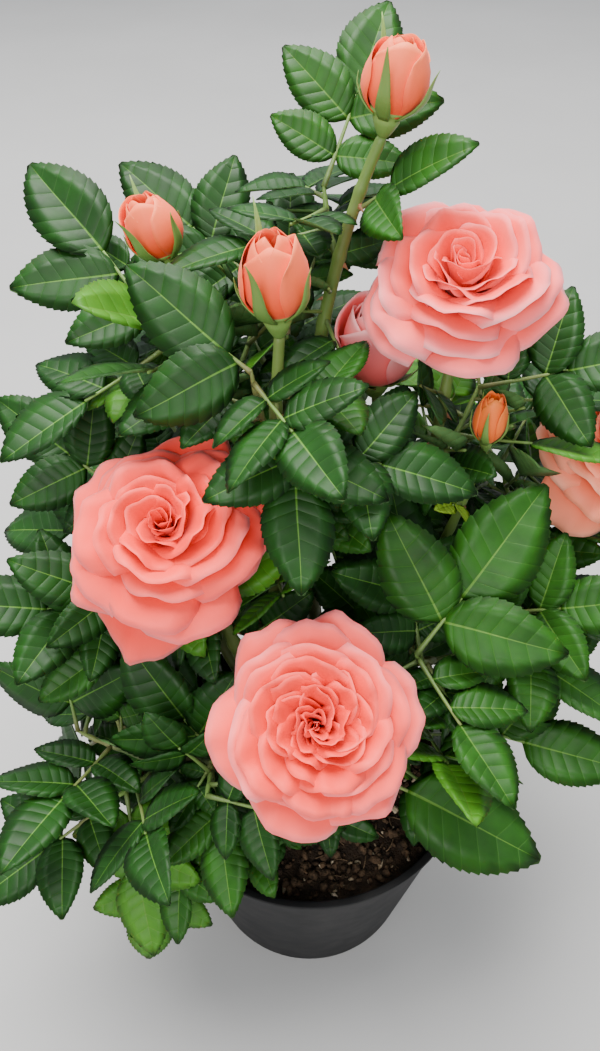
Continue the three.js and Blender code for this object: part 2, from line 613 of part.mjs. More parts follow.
/** Makes a limb that leaves another one, runs outward, and turns up to its tip or its head. */
function sideLimb(name, carrier, at, tip, radii, head = null) {
  const origin = carrier.point(at);
  const way = (head ? head.foot : tip).clone().sub(origin);
  const bend = along(origin, way.clone().setZ(0), BEND_OUT, UP, way.z * BEND_UP);
  const aim = bend.clone().sub(origin).normalize();
  const end = head ? tipUnder(head, bend, radii[1]) : tip;
  return new Limb(name, branchStart(carrier, at, aim, radii[0]), bend, end, radii);
}

/** Returns a limb whose start is moved along it until it is just clear of its carrier's solid. */
function seat(limb, sides, steps, carrierSolid) {
  const seated = new Limb(limb.name, limb.start.clone(), limb.bend, limb.tip, limb.radii);
  for (let i = 0; i < SEAT_ROUNDS; i += 1) {
    const gap = toSolid(limbGeometry(seated, sides, steps)).minGap(carrierSolid, SEAT_SEARCH);
    seated.start.addScaledVector(seated.tangent(0), CLEARANCE - gap);
  }
  return seated;
}

/** Says whether a point lies over a blade's ellipse, made larger by some room. */
function overBlade(blade, x, y, room) {
  return (x / (blade.length / 2 + room)) ** 2 + (y / (blade.halfWidth + room)) ** 2 < 1;
}

/** Returns a point in a blade's own frame: along it, across it and above it. */
function onBlade(blade, point) {
  const offset = point.clone().sub(blade.centre);
  return vec([offset.dot(blade.aim), offset.dot(blade.side), offset.dot(blade.face)]);
}

/** Says whether a straight piece comes within some room of a blade. */
function lineMeetsBlade(blade, from, to, room) {
  const a = onBlade(blade, from);
  const b = onBlade(blade, to);
  const near = [a, a.clone().lerp(b, 0.5), b];
  if (near.some(({ x, y, z }) => Math.abs(z) < room && overBlade(blade, x, y, room))) return true;
  if (a.z * b.z > 0) return false;
  const crossing = a.clone().lerp(b, a.z / (a.z - b.z));
  return overBlade(blade, crossing.x, crossing.y, room);
}

/** Returns the distance from a point to a straight piece. */
function distanceToLine(point, from, to) {
  const way = to.clone().sub(from);
  const share = THREE.MathUtils.clamp(point.clone().sub(from).dot(way) / way.lengthSq(), 0, 1);
  return along(from, way, share).distanceTo(point);
}

/** Everything that is already in place: leaf blades, straight rods and the domes of blooms. */
class Occupied {
  constructor() {
    Object.assign(this, { blades: [], rods: [], domes: [] });
  }

  /** Says whether a point lies in a bloom, in the pot, or too near to the ground. */
  blocksPoint(point, room) {
    if (point.z < LOWEST_LEAF) return true;
    if (point.z < POT_HEIGHT + room && Math.hypot(point.x, point.y) < POT_RIM_RADIUS + room) return true;
    return this.domes.some(({ centre, axis, radius, depth }) => {
      const offset = point.clone().sub(centre);
      const height = offset.dot(axis);
      const out = offset.lengthSq() - height * height;
      return out / (radius + room) ** 2 + (height / (depth + room)) ** 2 < 1;
    });
  }

  /** Says whether a new blade stays clear of all but the rods of one owner. */
  isBladeClear(blade, owner) {
    const edge = blade.edge;
    if ([...edge, blade.centre].some((point) => this.blocksPoint(point, DOME_ROOM))) return false;
    const lines = edge.map((point, i) => [point, edge[(i + 1) % edge.length]]);
    for (const other of this.blades) {
      const reach = (blade.length + other.length) / 2 + BLADE_ROOM;
      if (other.owner !== owner && other.centre.distanceTo(blade.centre) < reach) {
        if (lines.some(([a, b]) => lineMeetsBlade(other, a, b, BLADE_ROOM))) return false;
        const others = other.edge.map((point, i) => [point, other.edge[(i + 1) % other.edge.length]]);
        if (others.some(([a, b]) => lineMeetsBlade(blade, a, b, BLADE_ROOM))) return false;
      }
    }
    return !this.rods.some((rod) => rod.owner !== owner
      && rod.from.distanceTo(blade.centre) < blade.length + rod.from.distanceTo(rod.to)
      && lineMeetsBlade(blade, rod.from, rod.to, rod.radius + ROD_ROOM));
  }

  /** Says whether a new rod stays clear of all but what its owners hold. */
  isRodClear(rod, owners) {
    const samples = ROD_SAMPLES.map((share) => rod.from.clone().lerp(rod.to, share));
    if (samples.some((point) => this.blocksPoint(point, ROD_ROOM))) return false;
    if (this.rods.some((other) => !owners.includes(other.owner) && samples.some((point) => (
      distanceToLine(point, other.from, other.to) < rod.radius + other.radius + ROD_ROOM)))) return false;
    return !this.blades.some((blade) => !owners.includes(blade.owner)
      && rod.from.distanceTo(blade.centre) < blade.length + rod.from.distanceTo(rod.to)
      && lineMeetsBlade(blade, rod.from, rod.to, rod.radius + ROD_ROOM));
  }
}

/** Makes the record of a leaflet from its root, direction, upper side and length. */
function makeBlade(base, aim, face, length, owner) {
  const upper = squareTo(face, aim);
  const side = upper.clone().cross(aim);
  const centre = along(base, aim, length / 2, upper, -length * LEAFLET_DROOP * MEAN_DROOP);
  const halfWidth = length * LEAFLET_WIDTH;
  const edge = Array.from({ length: BLADE_EDGE_POINTS }, (_, i) => {
    const angle = (i / BLADE_EDGE_POINTS) * 2 * Math.PI;
    return along(centre, aim, Math.cos(angle) * length / 2, side, Math.sin(angle) * halfWidth);
  });
  return { base, aim, side, face: upper, length, halfWidth, centre, edge, owner };
}

/** Plans a compound leaf: its rachis from a node, its pairs of leaflets and an end leaflet. */
function planLeaf(node, aim, face, { size, pairs: count, stalk = 1 }, owner) {
  const upper = squareTo(face, aim);
  const side = upper.clone().cross(aim);
  const levels = Array.from({ length: count }, (_, i) => count - 1 - i);
  const pairs = levels.map((level) => {
    const reach = size * stalk * (PETIOLE + PAIR_STEP * (count - 1 - level));
    const root = along(node, aim, reach);
    const [left, right] = [1, -1].map((hand) => {
      const angle = PAIR_ANGLES[level];
      const out = along(ORIGIN, aim, Math.cos(angle), side, hand * Math.sin(angle), upper, PAIR_LIFT);
      return makeBlade(root, out.normalize(), upper, size * PAIR_SIZES[level], owner);
    });
    return { reach, left, right };
  });
  const end = size * stalk * (PETIOLE + PAIR_STEP * (count - 1) + END_STEP);
  const tip = along(node, aim, end);
  const endBlade = makeBlade(tip, aim, upper, size, owner);
  return { node, aim, side, face: upper, owner, pairs, end, endBlade, tip };
}

/** A mass of leaves: twigs that branch from one stem, with compound leaves on them. */
class Spray {
  constructor(plan, carrier, carrierSolid, index, occupied) {
    Object.assign(this, plan, { occupied });
    this.random = new Seeded(SEED_STEP * (index + 1));
    this.stem = sideLimb(plan.name, carrier, plan.at, vec(plan.tip), TWIG_RADII);
    this.occupied.rods.push(...this.stem.rods(TWIG_STEPS, this.name));
    const seated = seat(this.stem, TWIG_SIDES, TWIG_STEPS, carrierSolid);
    this.solids = [limbGeometry(seated, TWIG_SIDES, TWIG_STEPS)];
    this.leafCount = 0;
  }

  /** Returns a planned leaf with only the leaflets that have room, and how many those are. */
  trimLeaf(plan) {
    const { node, tip, owner } = plan;
    const rachis = { from: node, to: tip, radius: RACHIS_ROOM, owner };
    if (!this.occupied.isRodClear(rachis, [this.name, owner])) return { count: 0 };
    const reach = this.size * SPRAY_REACH;
    const keep = (blade) => {
      const isNear = distanceToLine(blade.centre, this.stem.start, this.stem.tip) < reach;
      return isNear && this.occupied.isBladeClear(blade, owner) ? blade : null;
    };
    const pairs = plan.pairs.map((pair) => ({ ...pair, left: keep(pair.left), right: keep(pair.right) }));
    const endBlade = keep(plan.endBlade);
    const blades = [endBlade, ...pairs.flatMap(({ left, right }) => [left, right])].filter(Boolean);
    return { count: blades.length, plan: { ...plan, pairs, endBlade }, blades, rachis };
  }

  /** Puts a leaf in place with the leaflets that have room. */
  addLeaf({ count, plan, blades, rachis }) {
    if (count === 0) return;
    this.solids.push(leafGeometry(plan));
    this.occupied.rods.push(rachis);
    this.occupied.blades.push(...blades);
  }

  /** Grows the lead leaf at the stem's tip. */
  growLead() {
    const { aim, face } = this.lead;
    const plan = planLeaf(this.stem.point(LEAD_AT), unit(aim), unit(face), this.lead, `${this.name}/lead`);
    this.addLeaf(this.trimLeaf(plan));
  }

  /** Grows one leaf from a twig, turned or lifted until as many leaflets as can have room. */
  growLeaf(twig, at, angle) {
    this.leafCount += 1;
    const owner = `${this.name}/${this.leafCount}`;
    const node = twig.point(at);
    const axis = twig.tangent(at);
    const across = squareTo(vec([node.y - CROWN_MIDDLE, -node.x, 0]), axis);
    const third = axis.clone().cross(across);
    const shape = { size: this.size * this.random.between(...SIZE_RANGE), pairs: LEAF_PAIRS };
    const sway = vec([this.random.between(...FACE_SWAY), this.random.between(...FACE_SWAY), 0]);
    const outward = vec([node.x, node.y - CROWN_MIDDLE, 0]).normalize();
    const face = along(vec(LIGHT).add(sway), outward, FACE_OUT).normalize();
    let best = { count: 0 };
    for (const lift of RETRY_LIFTS) {
      for (const turn of RETRY_TURNS) {
        const round = along(ORIGIN, across, Math.cos(angle + turn), third, Math.sin(angle + turn));
        const aim = along(axis.clone().multiplyScalar(LEAF_RISE), round, 1, UP, lift).normalize();
        const trimmed = this.trimLeaf(planLeaf(node, aim, face, shape, owner));
        if (trimmed.count > best.count) best = trimmed;
      }
    }
    this.addLeaf(best);
  }

  /** Grows a side twig with its leaves, if the twig has room. */
  growTwig(at, angle) {
    const axis = this.stem.tangent(at);
    const across = squareTo(UP, axis);
    const third = axis.clone().cross(across);
    const round = along(ORIGIN, across, Math.cos(angle), third, Math.sin(angle));
    const reach = this.stem.start.distanceTo(this.stem.tip) * SIDE_TWIG_SHARE;
    const node = this.stem.point(at);
    const ahead = along(node, axis, reach * SIDE_TWIG_AHEAD);
    const tip = along(ahead, round, reach * SIDE_TWIG_ASIDE, UP, reach * SIDE_TWIG_RISE);
    const bend = along(node.clone().lerp(tip, 0.5), UP, -reach * SIDE_TWIG_SAG);
    const twig = new Limb(this.name, node, bend, tip, SIDE_TWIG_RADII);
    const rods = twig.rods(TWIG_STEPS, this.name);
    if (!rods.every((rod) => this.occupied.isRodClear(rod, [this.name]))) return;
    this.occupied.rods.push(...rods);
    this.solids.push(limbGeometry(twig, TWIG_SIDES, TWIG_STEPS));
    this.growLeaf(twig, SIDE_LEAF_AT, angle + LEAF_TURN);
    this.growLeaf(twig, LEAD_AT, angle);
  }

  /** Grows the side twigs and then all leaves but the lead one. */
  grow() {
    const start = this.random.between(0, 2 * Math.PI);
    for (let i = 0; i < this.twigs; i += 1) {
      this.growTwig(SIDE_TWIG_AT, start + SIDE_TWIG_TURN + Math.PI * i);
    }
    for (let i = 0; i < this.leaves; i += 1) {
      this.growLeaf(this.stem, FIRST_LEAF_AT - (LEAF_SPAN * i) / this.leaves, start + LEAF_TURN * i);
    }
  }
}

/** Makes every limb, in the order in which each is carried by an earlier one. */
function makeLimbs(heads) {
  const limbs = new Map();
  for (const { name, foot, bend, head } of CANES) {
    const tip = tipUnder(heads.get(head), vec(bend), CANE_RADII[1]);
    limbs.set(name, new Limb(name, vec([...foot, SOIL_TOP]), vec(bend), tip, CANE_RADII, FLARE_RADIUS));
  }
  for (const { name, limb, at, head } of SHOOTS) {
    limbs.set(name, sideLimb(name, limbs.get(limb), at, null, SHOOT_RADII, heads.get(head)));
  }
  for (const { name, limb, at, tip } of BOUGHS) {
    limbs.set(name, sideLimb(name, limbs.get(limb), at, vec(tip), BOUGH_RADII));
  }
  return limbs;
}

/** Fills the room of the limbs, blooms and buds, so that leaves keep clear of them. */
function occupy(limbs, heads) {
  const occupied = new Occupied();
  for (const limb of limbs.values()) occupied.rods.push(...limb.rods(LIMB_RODS, limb.name));
  for (const { name, isBloom, foot, centre, axis, scale, width, length } of heads.values()) {
    if (isBloom) {
      occupied.domes.push({ centre, axis, radius: DOME_RADIUS * scale, depth: DOME_DEPTH * scale });
      occupied.rods.push({ from: foot, to: centre, radius: HIP_RADIUS, owner: name });
    } else {
      const at = (share) => along(foot, axis, length * share);
      const rods = BUD_RODS.map(([low, high, share]) => (
        { from: at(low), to: at(high), radius: width * share, owner: name }));
      occupied.rods.push(...rods);
    }
  }
  return occupied;
}

/** Builds the whole potted plant. */
function buildPlant() {
  const plant = new THREE.Group();
  const heads = new Map(HEADS.map((head) => [head.name, readHead(head)]));
  const limbs = makeLimbs(heads);
  plant.add(part('pot', potGeometry(), FINISHES.pot));
  plant.add(part('soil', soilGeometry(), FINISHES.soil));
  const limbSolids = new Map();
  for (const limb of limbs.values()) {
    const geometry = limbGeometry(limb, LIMB_SIDES, LIMB_STEPS, limb.flare > 0 ? SOIL_TOP : null);
    limbSolids.set(limb.name, toSolid(geometry));
    plant.add(part(limb.name, geometry, FINISHES.cane));
  }
  for (const head of heads.values()) {
    const geometry = head.isBloom ? bloomGeometry(head) : budGeometry(head);
    plant.add(part(head.name, geometry, head.isBloom ? FINISHES.petal : FINISHES.bud));
  }
  const occupied = occupy(limbs, heads);
  const sprays = SPRAYS.map((plan, i) => (
    new Spray(plan, limbs.get(plan.limb), limbSolids.get(plan.limb), i, occupied)));
  for (const spray of sprays) spray.growLead();
  for (const spray of sprays) spray.grow();
  for (const spray of sprays) plant.add(part(spray.name, fuse(spray.solids), FINISHES.leaf));
  return plant;
}

export default buildPlant();
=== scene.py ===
"""Looks of a potted rose bush: blooms, buds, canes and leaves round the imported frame.

Lengths are in millimetres until a mesh is made, +Z is up, the origin is the centre of the
pot's underside, and -Y is the front of the plant.
"""

import logging
import math
from dataclasses import dataclass, field, replace
from enum import Enum
from itertools import combinations
from typing import Iterable, Sequence

import bpy
import numpy as np
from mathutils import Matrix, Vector, noise

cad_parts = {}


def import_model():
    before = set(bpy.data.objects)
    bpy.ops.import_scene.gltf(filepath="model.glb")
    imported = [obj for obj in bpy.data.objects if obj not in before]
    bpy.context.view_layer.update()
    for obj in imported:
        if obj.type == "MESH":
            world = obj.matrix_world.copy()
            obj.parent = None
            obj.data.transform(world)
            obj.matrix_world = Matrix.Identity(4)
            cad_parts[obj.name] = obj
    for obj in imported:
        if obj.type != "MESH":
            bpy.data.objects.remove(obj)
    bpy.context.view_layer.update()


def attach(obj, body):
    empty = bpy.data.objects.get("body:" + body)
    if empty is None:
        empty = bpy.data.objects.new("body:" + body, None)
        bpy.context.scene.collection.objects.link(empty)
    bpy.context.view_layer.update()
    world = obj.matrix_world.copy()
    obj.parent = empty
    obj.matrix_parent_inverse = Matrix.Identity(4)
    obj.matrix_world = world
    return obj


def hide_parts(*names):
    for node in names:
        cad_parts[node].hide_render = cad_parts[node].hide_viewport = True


LOG = logging.getLogger("rose")
MM = 0.001
UP = np.array((0.0, 0.0, 1.0))
# A direction that no limb or twig starts along, for the first side of a tube.
ODD_WAY = (0.31, 0.87, 0.38)
# The angle from one petal or ring of petals to the next.
TURN_STEP = 2.4
# The least length that anything is divided by.
TINY = 1e-9
# The UV map along a leaflet's veins, and how many veins a whole U holds.
VEIN_MAP = "veins"
VEINS_TO_U = 16.0
Array = np.ndarray
Point = np.ndarray
Chance = np.random.Generator
Pair = tuple[float, float]
Triple = tuple[float, float, float]
Colour = Triple
Outline = Sequence[Pair]
Socket = bpy.types.NodeSocket
Material = bpy.types.Material


@dataclass(frozen=True)
class Rule:
    """Sizes and shares of the growth rule, the same as those of the solids."""

    pot_height: float = 95.0
    pot_rim_radius: float = 60.0
    pot_base_radius: float = 44.0
    pot_wall_radius: float = 58.9
    pot_wall: float = 1.5
    soil_top: float = 87.0
    clearance: float = 0.3
    cane_radii: Pair = (3.4, 1.6)
    shoot_radii: Pair = (1.9, 1.3)
    bough_radii: Pair = (2.4, 1.5)
    flare_radius: float = 1.5
    flare_share: float = 0.05
    bend_out: float = 0.68
    bend_up: float = 0.4
    least_square: float = 0.2
    least_slope: float = 0.3
    petiole: float = 0.3
    pair_step: float = 0.36
    end_step: float = 0.2
    leaf_pairs: int = 2
    size_range: Pair = (0.85, 1.1)
    pair_sizes: tuple[float, ...] = (0.88, 0.7)
    pair_angles: tuple[float, ...] = (63.0, 78.0)
    pair_lift: float = 0.16
    leaflet_width: float = 0.31
    leaflet_droop: float = 0.07
    mean_droop: float = 0.3
    twig_radii: Pair = (1.4, 0.9)
    twig_steps: int = 3
    side_twig_radii: Pair = (1.0, 0.9)
    side_twig_at: float = 0.5
    side_twig_share: float = 0.5
    side_twig_turn: float = 1.0
    side_twig_ahead: float = 0.6
    side_twig_aside: float = 0.8
    side_twig_rise: float = 0.2
    side_twig_sag: float = 0.08
    seed_step: int = 7919
    lead_at: float = 0.97
    first_leaf_at: float = 0.85
    leaf_span: float = 0.62
    side_leaf_at: float = 0.65
    leaf_turn: float = math.radians(137.5)
    leaf_rise: float = 0.36
    retry_turns: tuple[float, ...] = (0.0, 26.0, -26.0, 52.0, -52.0)
    retry_lifts: tuple[float, ...] = (0.0, 0.35, -0.35)
    light: Triple = (0.0, -0.3, 0.75)
    face_sway: Pair = (-0.2, 0.2)
    face_out: float = 0.4
    crown_middle: float = 20.0
    spray_reach: float = 1.9
    blade_room: float = 2.1
    rod_room: float = 1.5
    rachis_room: float = 1.3
    dome_room: float = 2.5
    lowest_leaf: float = 38.0
    edge_points: int = 8
    rod_samples: tuple[float, ...] = (0.15, 0.4, 0.65, 0.9, 1.0)
    limb_rods: int = 14
    hip_radius: float = 6.0
    bud_rods: tuple[Triple, ...] = (
        (0, 0.3, 0.3), (0.3, 0.75, 0.52), (0.75, 1, 0.4))
    bloom_width: float = 64.0
    bloom_foot: float = 21.0
    dome_radius: float = 34.0
    dome_depth: float = 15.0


RULE = Rule()


class HeadStyle(Enum):
    """How a flower head stands: how far it is open and how its middle is laid."""

    CUPPED = "cupped"
    OPEN = "open"
    QUARTERED = "quartered"
    HALF_OPEN = "half open"
    TIGHT = "tight"
    SMALL = "small"


class LeafTone(Enum):
    """The green of a whole compound leaf."""

    DEEP = 0
    MIDDLE = 1
    FRESH = 2
    YOUNG = 3


class LeafletSide(Enum):
    """The side of a leaflet that a face of it lies on."""

    TOP = 0
    UNDER = 1
    RIB = 2


@dataclass(frozen=True)
class HeadPlan:
    """A bloom or bud: the middle of the head, the axis from hip to top and the width."""

    name: str
    centre: Triple
    axis: Triple
    width: float
    style: HeadStyle
    length: float = 0.0
    turn: float = 0.0


@dataclass(frozen=True)
class CanePlan:
    """A cane from the soil to the head that it carries."""

    name: str
    foot: Pair
    bend: Triple
    head: str


@dataclass(frozen=True)
class BranchPlan:
    """A shoot to a head, or a bough to a tip, from a share of its limb's length."""

    name: str
    limb: str
    at: float
    head: str = ""
    tip: Triple = (0.0, 0.0, 0.0)


@dataclass(frozen=True)
class LeadPlan:
    """The leaf at the end of a mass's stem."""

    aim: Triple
    face: Triple
    size: float
    pairs: int
    stalk: float = 1.0


@dataclass(frozen=True)
class SprayPlan:
    """A mass of leaves, from a share of a limb's length to its tip."""

    name: str
    limb: str
    at: float
    tip: Triple
    size: float
    leaves: int
    twigs: int
    lead: LeadPlan


@dataclass(frozen=True)
class SinglePlan:
    """A small leaf straight on a limb, with its own green."""

    spray: str
    limb: str
    at: float
    aim: Triple
    face: Triple
    size: float
    pairs: int
    stalk: float
    tone: LeafTone


@dataclass(frozen=True)
class FinePlan:
    """How far the rule is carried on with small twigs and leaves."""

    room: float = 0.8
    twigs: int = 3
    leaves: int = 4
    carrier_leaves: int = 9
    sizes: Pair = (0.5, 0.85)
    twig_from: float = 0.25
    twig_span: float = 0.6
    twig_shares: Pair = (0.35, 0.6)
    row_span: Pair = (0.2, 0.95)
    carrier_span: float = 0.28
    carrier_ends: Pair = (0.1, 0.9)
    lane: float = 60.0
    lane_from: float = 0.2
    lane_way: Triple = (0.0, -0.7, 0.72)
    lane_share: float = 0.4


HEADS = (
    HeadPlan("bloom_right", (43, 52, 265), (-0.1, -0.38, 0.92), 62, HeadStyle.CUPPED, turn=0.93),
    HeadPlan("bloom_left", (-44, 6, 209), (-0.06, -0.44, 0.9), 64, HeadStyle.OPEN, turn=1.1),
    HeadPlan("bloom_front", (1, -39, 175), (0, -0.55, 0.84), 64, HeadStyle.QUARTERED, turn=2.0),
    HeadPlan("bloom_far_right", (104, 60, 198), (0.34, -0.3, 0.89), 54, HeadStyle.OPEN, turn=0.7),
    HeadPlan("bud_half_open", (21, 67, 232), (-0.05, -0.12, 0.99), 27, HeadStyle.HALF_OPEN, 37),
    HeadPlan("bud_top", (21.4, 74, 311), (0.16, 0.02, 0.98), 19, HeadStyle.TIGHT, 25),
    HeadPlan("bud_left", (-48, 72, 270), (-0.3, 0, 0.95), 18, HeadStyle.TIGHT, 25),
    HeadPlan("bud_centre", (-11, 35, 273), (-0.07, -0.06, 0.99), 20, HeadStyle.TIGHT, 31),
    HeadPlan("bud_small", (56, 41, 222), (-0.02, 0, 1), 11, HeadStyle.SMALL, 22),
)

CANES = tuple(CanePlan(*row) for row in (
    ("cane_top_bud", (9, 13), (-16, 68, 212), "bud_top"),
    ("cane_centre_bud", (-8, 9), (-16, 24, 170), "bud_centre"),
    ("cane_left_bloom", (-12, -6), (-16, -4, 150), "bloom_left"),
    ("cane_front_bloom", (2, -14), (2, -8, 128), "bloom_front"),
    ("cane_right_bloom", (14, 0), (38, 36, 160), "bloom_right"),
))

SHOOTS = (
    BranchPlan("shoot_left_bud", "cane_centre_bud", 0.52, head="bud_left"),
    BranchPlan("shoot_half_open_bud", "cane_right_bloom", 0.5, head="bud_half_open"),
    BranchPlan("shoot_small_bud", "cane_right_bloom", 0.38, head="bud_small"),
    BranchPlan("shoot_far_right_bloom", "cane_right_bloom", 0.2, head="bloom_far_right"),
)

BOUGHS = (
    BranchPlan("bough_left", "cane_left_bloom", 0.36, tip=(-45, 30, 168)),
    BranchPlan("bough_left_low", "cane_left_bloom", 0.16, tip=(-58, -14, 112)),
    BranchPlan("bough_front_left", "cane_front_bloom", 0.1, tip=(-30, -34, 106)),
    BranchPlan("bough_right", "cane_right_bloom", 0.3, tip=(42, 2, 150)),
    BranchPlan("bough_right_low", "cane_front_bloom", 0.2, tip=(30, -13, 117)),
    BranchPlan("bough_back_left", "cane_centre_bud", 0.22, tip=(-36, 62, 162)),
    BranchPlan("bough_back", "cane_top_bud", 0.34, tip=(-10, 72, 200)),
    BranchPlan("bough_back_right", "cane_top_bud", 0.18, tip=(44, 66, 160)),
)

SPRAYS = tuple(SprayPlan(*row, LeadPlan(*lead)) for *row, lead in (
    ("leaves_top", "cane_top_bud", 0.8, (3, 77, 283), 27, 4, 0,
     ((0.34, 0.62, 0.7), (0, -0.6, 0.8), 32, 2)),
    ("leaves_upper_left", "shoot_left_bud", 0.66, (-46, 62, 240), 31, 2, 1,
     ((-0.6, 0.56, 0.56), (-0.1, -0.65, 0.75), 40, 2)),
    ("leaves_upper_back", "shoot_left_bud", 0.5, (-16, 86, 246), 30, 2, 1,
     ((-0.77, 0.46, 0.46), (0, -0.65, 0.75), 35, 2)),
    ("leaves_centre_left", "cane_centre_bud", 0.8, (-18, 29, 250), 31, 3, 0,
     ((-0.78, 0.32, 0.54), (-0.15, -0.75, 0.65), 38, 1, 0.4)),
    ("leaves_centre", "cane_centre_bud", 0.62, (-5, 20, 239), 29, 3, 0,
     ((0, -0.84, -0.5), (0, -0.54, 0.84), 33, 1)),
    ("leaves_left_edge", "bough_left", 1, (-60, 40, 188), 31, 3, 1,
     ((-0.8, 0.38, 0.47), (-0.2, -0.6, 0.75), 33, 2)),
    ("leaves_left", "bough_left", 0.6, (-60, 10, 164), 31, 3, 1,
     ((-0.9, -0.15, 0.3), (-0.2, -0.45, 0.85), 33, 2)),
    ("leaves_left_mid", "bough_left_low", 1, (-84, -8, 122), 31, 3, 0,
     ((-0.15, 0.45, 0.85), (-0.25, -0.8, 0.5), 37, 1)),
    ("leaves_left_inner", "bough_left_low", 0.5, (-32, -26, 134), 31, 2, 0,
     ((-0.54, 0.35, 0.75), (-0.3, -0.75, 0.6), 34, 1)),
    ("leaves_left_low", "bough_left_low", 0.76, (-70, -30, 112), 29, 3, 1,
     ((-0.7, -0.5, -0.2), (-0.3, -0.45, 0.84), 30, 2)),
    ("leaves_front_left", "bough_front_left", 1, (-54, -38, 99), 26, 4, 1,
     ((-0.1, -0.5, -0.85), (-0.1, -0.85, 0.5), 28, 2)),
    ("leaves_front", "bough_front_left", 0.5, (-4, -30, 112), 15, 3, 0,
     ((0.8, -0.35, -0.1), (0, -0.55, 0.84), 16, 2)),
    ("leaves_right_front", "cane_front_bloom", 0.5, (9, -22, 127), 30, 0, 0,
     ((0.9, -0.39, -0.16), (0.1, -0.5, 0.86), 50, 0, 3.6)),
    ("leaves_right", "bough_right", 1, (33, -9, 168), 32, 2, 0,
     ((0.6, 0.46, 0.66), (-0.15, -0.8, 0.58), 45, 1)),
    ("leaves_right_upper", "cane_right_bloom", 0.7, (56, 62, 222), 30, 3, 1,
     ((0.85, -0.2, 0.35), (0.1, -0.6, 0.8), 33, 2)),
    ("leaves_far_right", "shoot_far_right_bloom", 0.5, (58, 14, 160), 31, 3, 1,
     ((0.85, -0.25, 0.4), (0.1, -0.6, 0.8), 31, 2)),
    ("leaves_far_right_back", "shoot_far_right_bloom", 0.7, (70, 66, 186), 30, 3, 1,
     ((0.5, 0.75, 0.4), (0.1, -0.1, 0.95), 31, 2)),
    ("leaves_right_low", "bough_right_low", 1, (44, -6, 128), 30, 3, 1,
     ((0.92, -0.3, -0.02), (0.1, -0.5, 0.86), 36, 2)),
    ("leaves_back_left", "bough_back_left", 1, (-48, 74, 190), 32, 3, 1,
     ((-0.55, 0.7, 0.35), (-0.2, 0.1, 0.95), 34, 2)),
    ("leaves_back_left_low", "bough_back_left", 0.6, (-52, 54, 134), 32, 3, 1,
     ((-0.75, 0.6, 0), (-0.3, 0.2, 0.9), 33, 2)),
    ("leaves_back", "bough_back", 1, (-8, 78, 228), 32, 3, 1,
     ((0, 0.7, 0.6), (0, -0.2, 0.95), 34, 2)),
    ("leaves_back_low", "bough_back", 0.5, (6, 70, 150), 32, 3, 1,
     ((0, 0.9, 0.1), (0, 0.3, 0.9), 34, 2)),
    ("leaves_back_right", "bough_back_right", 1, (52, 80, 190), 32, 3, 1,
     ((0.45, 0.7, 0.4), (0.2, 0.1, 0.95), 34, 2)),
    ("leaves_back_right_low", "bough_back_right", 0.6, (56, 54, 128), 32, 3, 1,
     ((0.8, 0.5, -0.1), (0.3, 0.2, 0.9), 33, 2)),
))

